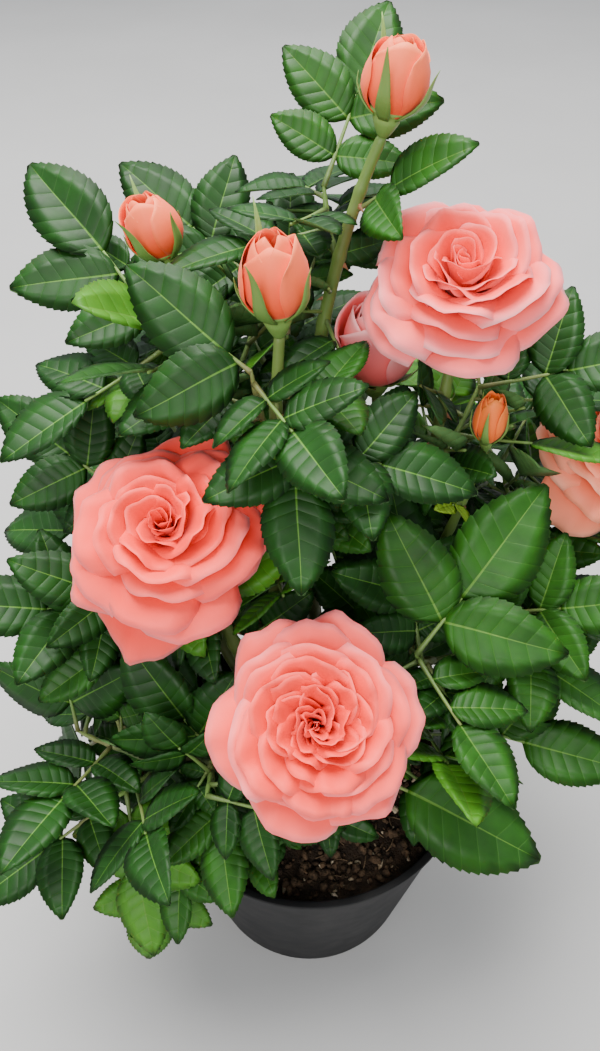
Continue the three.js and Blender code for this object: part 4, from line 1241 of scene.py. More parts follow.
def tube(middle: Array, radii: Array, sides: int) -> tuple[Array, list[list[int]]]:
    """Makes a closed tube along a row of points.

    Args:
        middle: The points that it follows.
        radii: Its radius at each point, or at each point and side.
        sides: How many sides it has.

    Returns:
        Its points and its faces.
    """
    ways = np.gradient(middle, axis=0)
    ways /= np.linalg.norm(ways, axis=1)[:, None]
    side = square_to(vec(ODD_WAY), ways[0])
    rings = []
    angles = even_angles(sides)
    for place, way, radius in zip(middle, ways, np.atleast_1d(radii)):
        side = square_to(side, way)
        other = np.cross(way, side)
        ring = np.outer(np.cos(angles), side) + np.outer(np.sin(angles), other)
        rings.append(place + ring * np.reshape(radius, (-1, 1)))
    return np.vstack(rings), ring_faces(len(middle), sides)


def lathe(profile: Sequence[Pair], sides: int) -> tuple[Array, list[list[int]]]:
    """Revolves a profile of radius and height pairs about +Z, from its lower pole to its upper one.

    Args:
        profile: Pairs with a radius above zero between the poles.
        sides: How many sides it has.

    Returns:
        Its points and its faces.
    """
    angles = even_angles(sides)
    ring = np.column_stack((np.cos(angles), np.sin(angles), np.zeros(sides)))
    points = np.vstack([ring * radius + UP * height for radius, height in profile])
    return points, ring_faces(len(profile), sides)


@dataclass
class LeafletShape:
    """A leaflet in its own outline: toothed, hollow at the midrib and full between its veins.

    Its UV map runs with the veins: U grows evenly from vein to vein, V from 0 at the midrib to 1
    at the rim.
    """

    veins: int
    rib: float = 0.03
    rib_taper: float = 1.2
    tooth: float = 0.05
    tooth_taper: float = 0.5
    tooth_slant: float = 0.01
    notch: float = 0.01
    lift: float = 0.012
    lift_at: float = 0.52
    groove: float = 0.008
    thickness: float = 0.026
    thickness_taper: float = 1.4
    vein_slant: float = 0.14
    vein_crowding: float = 0.94
    root_fullness: float = 0.62
    tip_fullness: float = 0.9
    fullest: float = 0.358
    wave_turns: float = 6.5
    wave_growth: float = 1.25
    fold_narrowing: float = 0.12
    folds: Pair = (0.06, 0.34)
    droops: Pair = (0.03, 0.16)
    twists: Pair = (-0.2, 0.2)
    waves: Pair = (0.006, 0.022)
    bows: Pair = (-0.05, 0.05)
    teeth: tuple[tuple[str, float, float], ...] = (
        ("first", 0.36, 1.0), ("dent", 0.5, 0.0), ("second", 0.88, 1.0))

    def __post_init__(self) -> None:
        """Lays out the points and faces in shares of the length and of the half width."""
        n = self.veins
        edge = self.edges = (np.arange(n + 1) / n) ** self.vein_crowding
        spine = edge - self.vein_slant * np.sin(math.pi * edge)
        rows: list[Triple] = []
        marks: list[Pair] = []
        index: dict[tuple[str, int, int], int] = {}

        def put(name: str, i: int, hand: int, place: Triple, mark: Pair) -> None:
            """Adds a point with its place on the UV map.

            Args:
                name: The point's row.
                i: Its number in the row.
                hand: Its side of the rib.
                place: Where it lies.
                mark: Its place along the rib and across it.
            """
            index[(name, i, hand)] = len(rows)
            rows.append(place)
            marks.append((mark[0] / VEINS_TO_U, mark[1]))

        put("tip", n, 0, (1.0, 0.0, 0.0), (n, 0.0))
        for i in range(n):
            below = -self.groove - self.thickness * (self.thickness_taper - edge[i])
            put("under", i, 0, (spine[i], 0.0, below), (i, 0.0))
            for hand in (1, -1):
                beside = hand * self.rib * (self.rib_taper - edge[i])
                put("rib", i, hand, (spine[i], beside, -self.groove), (i, 0.0))
                if i > 0:
                    wide = self.outline(edge[i])
                    middle = (spine[i] + edge[i]) / 2
                    put("notch", i, hand, (edge[i], hand * (wide - self.notch), 0.0), (i, 1.0))
                    put("mid", i, hand, (middle, hand * wide * self.lift_at, self.lift), (i, 0.5))
                for name, share, rim in self.teeth:
                    x = edge[i] + share * (edge[i + 1] - edge[i])
                    y = self.outline(x) + rim * self.tooth * (1 - self.tooth_taper * edge[i])
                    put(name, i, hand, (x + rim * self.tooth_slant, hand * y, 0.0), (i + share, 1.0))
        for hand in (1, -1):
            index[("notch", 0, hand)] = index[("rib", 0, hand)]
            index[("mid", 0, hand)] = index[("rib", 0, hand)]
            for name in ("notch", "mid", "rib"):
                index[(name, n, hand)] = index[("tip", n, 0)]
        index[("under", n, 0)] = index[("tip", n, 0)]
        self.places = np.array(rows)
        self.marks = np.array(marks)
        self.faces: list[list[int]] = []
        self.sides: list[LeafletSide] = []
        for i in range(n):
            for hand in (1, -1):
                rim = [index[(name, i + step, hand)] for name, step in (
                    ("notch", 1), ("second", 0), ("dent", 0), ("first", 0), ("notch", 0))]
                inner = [index[("rib", i, hand)], index[("rib", i + 1, hand)]]
                middle = [index[("mid", i, hand)], index[("mid", i + 1, hand)]]
                self._face([*inner, *middle[::-1]], hand, LeafletSide.TOP)
                self._face([*middle, *rim], hand, LeafletSide.TOP)
                below = [index[("under", i, 0)], index[("under", i + 1, 0)]]
                self._face([*below, *rim], -hand, LeafletSide.UNDER)
            strip = [index[("rib", i + step, hand)] for step, hand in ((0, -1), (1, -1), (1, 1), (0, 1))]
            self._face(strip, 1, LeafletSide.RIB)
        root = [index[("rib", 0, -1)], index[("rib", 0, 1)], index[("under", 0, 0)]]
        self._face(root, 1, LeafletSide.UNDER)

    def _face(self, ring: list[int], hand: int, side: LeafletSide) -> None:
        """Adds a face without doubled points, turned over on the other hand.

        Args:
            ring: Its points.
            hand: 1, or -1 to turn it over.
            side: The side that it lies on.
        """
        face = [point for k, point in enumerate(ring) if point != ring[k - 1]]
        if len(face) > 2:
            self.faces.append(face if hand > 0 else face[::-1])
            self.sides.append(side)

    def outline(self, x: float) -> float:
        """Returns the outline's share of the half width at a share of the length."""
        inside = min(max(x, 0.0), 1.0)
        return inside ** self.root_fullness * (1 - inside) ** self.tip_fullness / self.fullest

    def placed(self, blade: Blade, random: Chance) -> Array:
        """Stands the leaflet on its place, with its own fold, droop, twist and wave.

        Args:
            blade: Where it stands.
            random: Source of its chances.

        Returns:
            Its points in millimetres.
        """
        x, y, z = self.places.T
        fold = random.uniform(*self.folds)
        droop = random.uniform(*self.droops)
        twist = random.uniform(*self.twists)
        wave = random.uniform(*self.waves)
        phase = random.uniform(0, 2 * math.pi)
        along = x * blade.length
        across = y * blade.half_width * (1 - self.fold_narrowing * fold)
        lift = z * blade.length + fold * np.abs(across) - droop * blade.length * x ** 2
        waves = [np.interp(x, self.edges, np.sin(self.wave_turns * self.edges + phase + 2 * hand))
                 for hand in (1, -1)]
        wide = np.abs(y) ** self.wave_growth
        lift += twist * across * x + wave * blade.length * wide * np.where(y > 0, *waves)
        bow = random.uniform(*self.bows) * blade.length
        across = across + bow * np.sin(math.pi * x * 0.5) ** 2
        return (blade.base + np.outer(along, blade.aim) + np.outer(across, blade.side)
                + np.outer(lift, blade.face))


# The pieces that the masses of leaves are joined to, by how the masses' names start.
LEAF_GROUPS = {
    "leaves_of_left": ("leaves_left", "leaves_front"),
    "leaves_of_right": ("leaves_right", "leaves_far"),
    "leaves_of_back": ("leaves_back",),
    "leaves_of_top": ("leaves_top", "leaves_upper", "leaves_centre"),
}


@dataclass
class Foliage:
    """All leaves, leaf stalks and twigs of the masses."""

    skeleton: Skeleton
    finishes: dict[str, Material]
    seed: int = 500
    broad_from: float = 22.0
    small_under: float = 18.0
    tones: tuple[float, ...] = (0.5, 0.36, 0.14, 0.0)
    small_tones: tuple[float, ...] = (0.36, 0.4, 0.2, 0.04)
    twig_steps: int = 12
    twig_sides: int = 7
    twig_thickness: float = 0.8
    twig_swell: float = 0.12
    twig_swells: int = 19
    twig_end: float = 0.6
    stalk_steps: int = 9
    stalk_sides: int = 6
    stalk_sag: float = 0.35
    stalk_into_leaf: float = 0.8
    stalk_tip: float = 0.4
    stalk_foot: float = 0.45
    stalk_share: float = 0.004
    broad: LeafletShape = field(default_factory=lambda: LeafletShape(veins=8))
    small: LeafletShape = field(default_factory=lambda: LeafletShape(veins=5, tooth=0.06))

    def leaf_tone(self, leaf: LeafPlace, random: Chance) -> LeafTone:
        """Returns a leaf's own green, or deals it one: small leaves are fresher.

        Args:
            leaf: The leaf.
            random: Source of its chance.

        Returns:
            Its green.
        """
        if leaf.tone is not None:
            return leaf.tone
        shares = self.small_tones if leaf.size < self.small_under else self.tones
        dealt = LeafTone(int(random.choice(len(shares), p=shares)))
        return LEAF_TONES.get(leaf.owner, dealt)

    def group_of(self, node: str) -> str:
        """Returns the name of the piece that a mass is joined to.

        Args:
            node: Name of the mass.

        Returns:
            Name of the piece.
        """
        for name, starts in LEAF_GROUPS.items():
            if node.startswith(starts):
                return name
        raise ValueError(node)

    def build(self) -> list[bpy.types.Object]:
        """Makes the joined leaf pieces and the piece of twigs and leaf stalks.

        Returns:
            The new objects.
        """
        leaves = {name: Gathered() for name in LEAF_GROUPS}
        nodes: dict[str, list[str]] = {name: [] for name in LEAF_GROUPS}
        twigs = Gathered()
        for spray in self.skeleton.sprays:
            random = np.random.default_rng(self.seed + spray.index)
            group = self.group_of(spray.plan.name)
            nodes[group].append(spray.plan.name)
            for twig in spray.twigs:
                self.add_twig(twigs, twig, spray.root if twig is spray.stem else twig.start)
            for leaf in spray.leaves:
                self.add_stalk(twigs, leaf)
                tone = self.leaf_tone(leaf, random)
                for blade in leaf.blades:
                    self.add_leaflet(leaves[group], blade, tone, random)
        tops = [self.finishes[f"leaf_{tone.name.lower()}"] for tone in LeafTone]
        extra = [self.finishes[name] for name in ("leaf_under", "leaf_under_young", "leaf_rib")]
        made = []
        for name, gathered in leaves.items():
            piece = gathered.make(name, tops + extra)
            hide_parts(*nodes[name])
            made.append(piece)
        stalks = twigs.make("twigs_and_leaf_stalks", [self.finishes["twig"]])
        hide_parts(*[spray.plan.name for spray in self.skeleton.sprays])
        made.append(stalks)
        return made

    def add_twig(self, gathered: Gathered, twig: Limb, root: Point) -> None:
        """Adds a twig, sunk into what carries it.

        Args:
            gathered: What it is added to.
            twig: The twig.
            root: The point that it grows from.
        """
        shares = np.linspace(0, 1, self.twig_steps)
        middle = np.array([twig.point(t) for t in shares])
        middle[0] = root
        swell = self.twig_thickness + self.twig_swell * np.sin(shares * self.twig_swells)
        radii = np.array([twig.radius(t) for t in shares]) * swell
        radii[-1] *= self.twig_end
        points, faces = tube(middle, radii, self.twig_sides)
        gathered.add(points, faces, tints=np.repeat(shares, self.twig_sides))

    def add_stalk(self, gathered: Gathered, leaf: LeafPlace) -> None:
        """Adds a leaf's stalk, thick at its foot and thin at the end leaflet.

        Args:
            gathered: What it is added to.
            leaf: The leaf.
        """
        shares = np.linspace(0, 1, self.stalk_steps)
        end = leaf.tip + (leaf.aim * self.stalk_into_leaf if leaf.blades[0].base is leaf.tip else 0.0)
        sag = np.sin(shares * math.pi)[:, None] * leaf.face * -self.stalk_sag
        middle = leaf.node + (end - leaf.node) * shares[:, None] + sag
        radii = self.stalk_tip + self.stalk_foot * (1 - shares) ** 2 + leaf.size * self.stalk_share
        points, faces = tube(middle, radii, self.stalk_sides)
        gathered.add(points, faces, tints=np.repeat(shares, self.stalk_sides))

    def add_leaflet(self, gathered: Gathered, blade: Blade, tone: LeafTone,
                    random: Chance) -> None:
        """Adds a leaflet with its upper side, underside and midrib.

        Args:
            gathered: What it is added to.
            blade: Where it stands.
            tone: Its green.
            random: Source of its chances.
        """
        shape = self.broad if blade.length > self.broad_from else self.small
        under, under_young, rib = range(len(LeafTone), len(LeafTone) + 3)
        slot_of = {
            LeafletSide.TOP: tone.value,
            LeafletSide.UNDER: under_young if tone is LeafTone.YOUNG else under,
            LeafletSide.RIB: rib,
        }
        slots = [slot_of[side] for side in shape.sides]
        gathered.add(shape.placed(blade, random), shape.faces, slots, random.uniform(0, 1), shape.marks)


@dataclass(frozen=True)
class PetalRing:
    """A ring of petals of an open bloom, for a width of 64."""

    petals: int
    length: float
    width: float
    root: float
    foot: float
    start: float
    end: float
    curl: float = 0.0
    cup: float = 1.0
    ruffle: float = 1.0
    lap: float = 1.0
    tint: float = 0.0
    aside: float = 0.0


CUPPED_RINGS = tuple(PetalRing(*row) for row in (
    (5, 33, 18.5, 3.0, 11, 0.8, 1.95, 1.1, 1.5, 1.3, 1.6, 0.24),
    (5, 31, 18, 3.0, 11.5, 0.65, 1.6, 1.1, 1.4, 1.3, 1.8, 0.2),
    (5, 29.5, 17, 3.0, 12, 0.52, 1.25, 1.1, 1.3, 1.3, 1.8, 0.14),
    (5, 28, 16, 2.8, 12, 0.4, 0.9, 1.0, 1.2, 1.2, 1.8, 0.08),
    (5, 26.5, 14, 2.6, 12, 0.28, 0.6, 0.9, 1.1, 1.1, 1.8, 0.02),
    (4, 25, 12, 2.2, 12, 0.17, 0.34, 0.7, 1.0, 1.0, 1.6, -0.05),
    (3, 23, 9, 1.6, 12, 0.08, 0.14, 0.5, 0.95, 0.8, 1.2, -0.1),
    (2, 21, 6, 0.9, 12, 0.02, 0.03, 0.3, 0.9, 0.5, 0.8, -0.14),
))

OPEN_RINGS = tuple(PetalRing(*row) for row in (
    (1, 41, 17, 3.0, 10.5, 1.3, 2.5, 0.5, 1.8, 1.6, 1.0, 0.2, 4.3),
    (5, 33, 18.5, 3.0, 11, 0.85, 2.0, 1.2, 1.6, 1.5, 1.8, 0.25),
    (5, 31, 18, 3.0, 11.5, 0.66, 1.6, 1.2, 1.4, 1.5, 1.8, 0.2),
    (5, 28.5, 16.5, 3.0, 12, 0.5, 1.25, 1.1, 1.3, 1.4, 2.0, 0.12),
    (5, 26.5, 15, 2.8, 12, 0.4, 0.92, 1.0, 1.15, 1.4, 2.0, 0.05),
    (5, 24.5, 13, 2.6, 12, 0.28, 0.62, 1.0, 1.05, 1.4, 2.0, -0.02),
    (4, 23, 11, 2.2, 12, 0.16, 0.34, 0.8, 0.9, 1.2, 1.8, -0.08),
    (3, 21.5, 8, 1.6, 12, 0.07, 0.12, 0.6, 0.85, 0.9, 1.3, -0.12),
    (2, 20, 5.5, 0.9, 12, 0.0, 0.02, 0.3, 0.9, 0.5, 0.8, -0.15),
))

QUARTERED_RINGS = tuple(PetalRing(*row) for row in (
    (6, 31.5, 17, 3.0, 11, 0.8, 1.65, 0.9, 1.7, 1.5, 1.6, 0.26),
    (6, 30, 16.5, 3.0, 11.5, 0.62, 1.35, 1.0, 1.5, 1.6, 1.8, 0.2),
    (6, 28, 15.5, 3.0, 12, 0.5, 1.08, 1.0, 1.3, 1.7, 1.8, 0.12),
    (6, 26, 14, 3.0, 12, 0.42, 0.86, 1.0, 1.0, 1.9, 1.8, 0.04),
    (6, 23.5, 12, 3.2, 12.5, 0.36, 0.66, 1.0, 0.65, 1.7, 1.6, -0.04),
    (6, 21.5, 10, 3.4, 12.5, 0.26, 0.46, 1.1, 0.55, 1.6, 1.2, -0.08),
    (5, 20.5, 8.5, 2.8, 12.5, 0.14, 0.26, 1.0, 0.55, 1.5, 1.4, -0.1),
    (4, 19.5, 7, 1.8, 12.5, 0.06, 0.12, 0.8, 0.7, 1.2, 1.5, -0.08),
    (3, 18, 5, 0.4, 12.5, 0.0, 0.02, 0.3, 0.35, 0.4, 0.3, 0.02),
))


@dataclass
class PetalSheet:
    """A thin closed sheet that rises from the foot of a head and bends as a petal does."""

    rows: int
    columns: int
    thickness: float = 0.5
    bud_thickness: float = 0.45
    sepal_thickness: float = 0.55
    thinner_rim: float = 0.8
    tilts: Pair = (-0.16, 0.16)
    lengths: Pair = (0.92, 1.05)
    off_middle: Pair = (-0.16, 0.16)
    points: Pair = (-0.035, 0.05)
    point_width: float = 0.16
    rolls: Pair = (0.6, 1.3)
    narrow_foot: float = 0.3
    widest_at: float = 0.72
    least_bend: float = 1.6
    most_turn: float = 2.3
    ruffle: float = 0.8

    def __post_init__(self) -> None:
        """Lays out the sheet's grid and the faces of its closed body."""
        rows, columns = self.rows, self.columns
        shares = np.linspace(0, 1, rows + 1)
        across = np.linspace(-1, 1, columns + 1)
        self.share, self.across = np.meshgrid(shares, across, indexing="ij")
        wide = columns + 1
        total = (rows + 1) * wide
        self.faces: list[list[int]] = []
        for i in range(rows):
            for j in range(columns):
                a, b, c, d = i * wide + j, (i + 1) * wide + j, (i + 1) * wide + j + 1, i * wide + j + 1
                self.faces.append([a, b, c, d])
                self.faces.append([a + total, d + total, c + total, b + total])
        rim = ([(0, j) for j in range(columns)] + [(i, columns) for i in range(rows)]
               + [(rows, columns - j) for j in range(columns)] + [(rows - i, 0) for i in range(rows)])
        loop = [i * wide + j for i, j in rim]
        for a, b in zip(loop, loop[1:] + loop[:1]):
            self.faces.append([a, b, b + total, a + total])

    @staticmethod
    def summed(values: Array) -> Array:
        """Returns the running mean of values along the sheet, from zero at its foot."""
        steps = (values[1:] + values[:-1]) / 2 / (len(values) - 1)
        return np.vstack((np.zeros_like(values[:1]), np.cumsum(steps, axis=0)))

    def closed(self, x: Array, y: Array, z: Array, thickness: float) -> Array:
        """Gives a grid of places a back side.

        Args:
            x: First coordinates of the inner side.
            y: Second coordinates.
            z: Third coordinates.
            thickness: Thickness at the foot. The rim is thinner.

        Returns:
            The points of both sides in rows.
        """
        grid = np.stack((x, y, z), axis=-1)
        normal = np.cross(np.gradient(grid, axis=0), np.gradient(grid, axis=1))
        normal /= np.maximum(np.linalg.norm(normal, axis=-1), TINY)[..., None]
        depth = thickness * (1 - self.thinner_rim * self.share)[..., None]
        return np.vstack((grid.reshape(-1, 3), (grid - normal * depth).reshape(-1, 3)))

    def petal(self, ring: PetalRing, angle: float, random: Chance) -> Array:
        """Shapes one petal of an open bloom.

        Args:
            ring: Its ring's sizes.
            angle: Its place round the bloom.
            random: Source of its chances.

        Returns:
            Its points for a bloom of full width.
        """
        s, a = self.share, self.across
        tilt = random.uniform(*self.tilts)
        long = ring.length * random.uniform(*self.lengths)
        uneven = random.uniform(*self.off_middle)
        point = random.uniform(*self.points)
        roll = ring.curl * random.uniform(*self.rolls)
        lean = ring.start + (ring.end - ring.start + tilt) * s ** 1.2
        lean = lean + roll * s ** 5 * (0.3 + 0.9 * np.abs(a + uneven) ** 2)
        pointed = point * np.exp(-((a - uneven) / self.point_width) ** 2)
        length = long * (1 - 0.2 * np.abs(a + uneven) ** 2.6 + pointed)
        length = length + 0.45 * np.sin(8 * a + random.uniform(0, 2 * math.pi)) * s
        radial = ring.root + length * self.summed(np.sin(lean)) + ring.lap * a * (0.3 + s)
        height = ring.foot + length * self.summed(np.cos(lean))
        full = np.sin(np.minimum(s / self.widest_at, 1) * math.pi / 2)
        wide = ring.width * (self.narrow_foot + (1 - self.narrow_foot) * full)
        bend = np.maximum(radial, self.least_bend) * ring.cup
        turn = np.clip(wide / bend, 0, self.most_turn) * a
        phases = random.uniform(0, 2 * math.pi, 3)
        ruffle = (np.sin(3.1 * a + phases[0]) + 0.6 * np.sin(6.7 * a + phases[1] + 2 * s)
                  + 0.35 * np.sin(12 * a + phases[2]) * s ** 2)
        push = ring.ruffle * s ** 2.2 * ruffle * self.ruffle
        x = radial - bend + bend * np.cos(turn) + push * np.cos(lean)
        y = bend * np.sin(turn)
        z = height - push * np.sin(lean)
        return turned(self.closed(x, y, z, self.thickness), angle)

    def wrap(self, outline: Outline, half: float, length: float, spread: float, angle: float,
             flare: float, random: Chance) -> Array:
        """Shapes a petal that hugs a bud.

        Args:
            outline: Shares of the length with shares of the half width there, from foot to rim.
            half: The half width that the petal lies at.
            length: The bud's length.
            spread: Half angle that the petal covers.
            angle: Its place round the bud.
            flare: How far the rim stands away.
            random: Source of its chances.

        Returns:
            Its points with the bud's foot at zero.
        """
        s, a = self.share, self.across
        heights, radii = np.array(outline).T
        reach = heights[0] + (heights[-1] - heights[0]) * s * (1 - 0.2 * np.abs(a) ** 1.8)
        radial = np.interp(reach, heights, radii) * half
        phase = random.uniform(0, 2 * math.pi)
        radial = radial + flare * s ** 6 + 0.03 * half * (a + 1) * (1.6 - s)
        radial = radial + 0.04 * half * s ** 3 * np.sin(4 * a + phase)
        turn = spread * a * (0.75 + 0.35 * np.sin(s * math.pi * 0.8))
        x, y, z = radial * np.cos(turn), radial * np.sin(turn), reach * length
        return turned(self.closed(x, y, z, self.bud_thickness), angle)

    def bud_sepal(self, outline: Outline, half: float, length: float, reach: float, stand: float,
                  angle: float, random: Chance) -> Array:
        """Shapes a narrow sepal that follows a bud and may stand away from it toward its point.

        Args:
            outline: Shares of the length with shares of the half width there.
            half: The bud's half width.
            length: The bud's length.
            reach: Share of the length that the sepal rises over.
            stand: How far its point stands away from the bud.
            angle: Its place round the bud.
            random: Source of its chances.

        Returns:
            Its points with the bud's foot at zero.
        """
        s, a = self.share, self.across
        heights, radii = np.array(outline).T
        level = 0.19 + reach * s
        radial = np.interp(np.minimum(level, 0.55), heights, radii) * half + 0.5 + stand * s ** 2.4
        wide = half * 0.28 * np.minimum(1, 0.5 + 2.6 * s) * np.maximum(1 - s, 0.02) ** 0.85
        y = wide * a + 0.06 * half * s * np.sin(4 * s + random.uniform(0, 6))
        x = radial + 0.2 * wide * (1 - a ** 2)
        return turned(self.closed(x, y, level * length, self.thickness), angle)

    def sepal(self, length: float, width: float, root: float, foot: float, start: float, end: float,
              angle: float, random: Chance) -> Array:
        """Shapes a narrow, long-pointed sepal.

        Args:
            length: Its length.
            width: Its greatest half width.
            root: Distance of its foot from the axis.
            foot: Height of its foot.
            start: Lean from the axis at its foot.
            end: Lean at its tip.
            angle: Its place round the head.
            random: Source of its chances.

        Returns:
            Its points with the head's foot at zero.
        """
        s, a = self.share, self.across
        lean = start + (end - start) * s + random.uniform(-0.12, 0.12) * s
        radial = root + length * self.summed(np.sin(lean))
        height = foot + length * self.summed(np.cos(lean))
        wide = width * np.maximum(np.minimum(1, 0.55 + 2.2 * s) * (1 - s) ** 0.8, 0.03)
        hollow = 0.25 * wide * a ** 2
        x = radial - hollow * np.cos(lean)
        z = height + hollow * np.sin(lean)
        y = wide * a + 0.5 * s * np.sin(5 * s + random.uniform(0, 6))
        return turned(self.closed(x, y, z, self.sepal_thickness), angle)


@dataclass(frozen=True)
class BudForm:
    """How the petals of a bud are wrapped round each other."""

    outline: Outline
    petals: int
    narrowing: float
    lowering: float
    flare: float
    tint: float
    width: float = 0.94
    shoulder: float = 0.3
    spread: float = 1.25
    tint_step: float = 0.2


TIGHT_BUD = BudForm(
    ((0.18, 0.26), (0.25, 0.52), (0.35, 0.8), (0.47, 0.98), (0.58, 1.0), (0.72, 0.93), (0.85, 0.74),
     (0.94, 0.54), (1.0, 0.36)),
    petals=10, narrowing=0.5, lowering=0.15, flare=0.22, tint=0.11)
HALF_OPEN_BUD = BudForm(
    ((0.18, 0.28), (0.26, 0.6), (0.38, 0.9), (0.52, 1.0), (0.68, 0.97), (0.82, 0.82), (0.93, 0.6),
     (1.0, 0.4)),
    petals=15, narrowing=0.6, lowering=0.16, flare=0.3, tint=0.34)
BLOOM_HIP = ((0.6, -1.2), (1.9, 0), (3.0, 1.2), (4.1, 4), (4.2, 6.5), (3.6, 8.6), (4.4, 10.6),
             (6.0, 12.4), (3.0, 13.4))
BUD_HIP = ((0.12, -0.04), (0.2, -0.01), (0.28, 0.04), (0.36, 0.1), (0.42, 0.15), (0.4, 0.185),
           (0.46, 0.22), (0.62, 0.27), (0.3, 0.33))


BLOOM_RINGS = {
    HeadStyle.CUPPED: CUPPED_RINGS,
    HeadStyle.OPEN: OPEN_RINGS,
    HeadStyle.QUARTERED: QUARTERED_RINGS,
}
BLOOM_SHADES = {HeadStyle.OPEN: -0.26, HeadStyle.QUARTERED: -0.24, HeadStyle.CUPPED: -0.07}
BUD_FINISHES = {
    HeadStyle.SMALL: "petal_orange",
    HeadStyle.HALF_OPEN: "petal",
    HeadStyle.TIGHT: "petal_bud",
}
# For each sepal of a bud: the share of its length that it covers, and how far its point stands off.
SEPAL_REACHES = {
    HeadStyle.TIGHT: ((0.42, 0.0), (0.85, 0.75), (0.4, 0.02), (0.8, 0.55), (0.62, 0.3)),
    HeadStyle.SMALL: ((0.6, 0.0), (0.66, 0.05), (0.55, 0.0), (0.7, 0.12), (0.6, 0.0)),
    HeadStyle.HALF_OPEN: ((0.36, 0.1), (0.4, 0.5), (0.34, 0.2), (0.45, 0.7), (0.36, 0.3)),
}


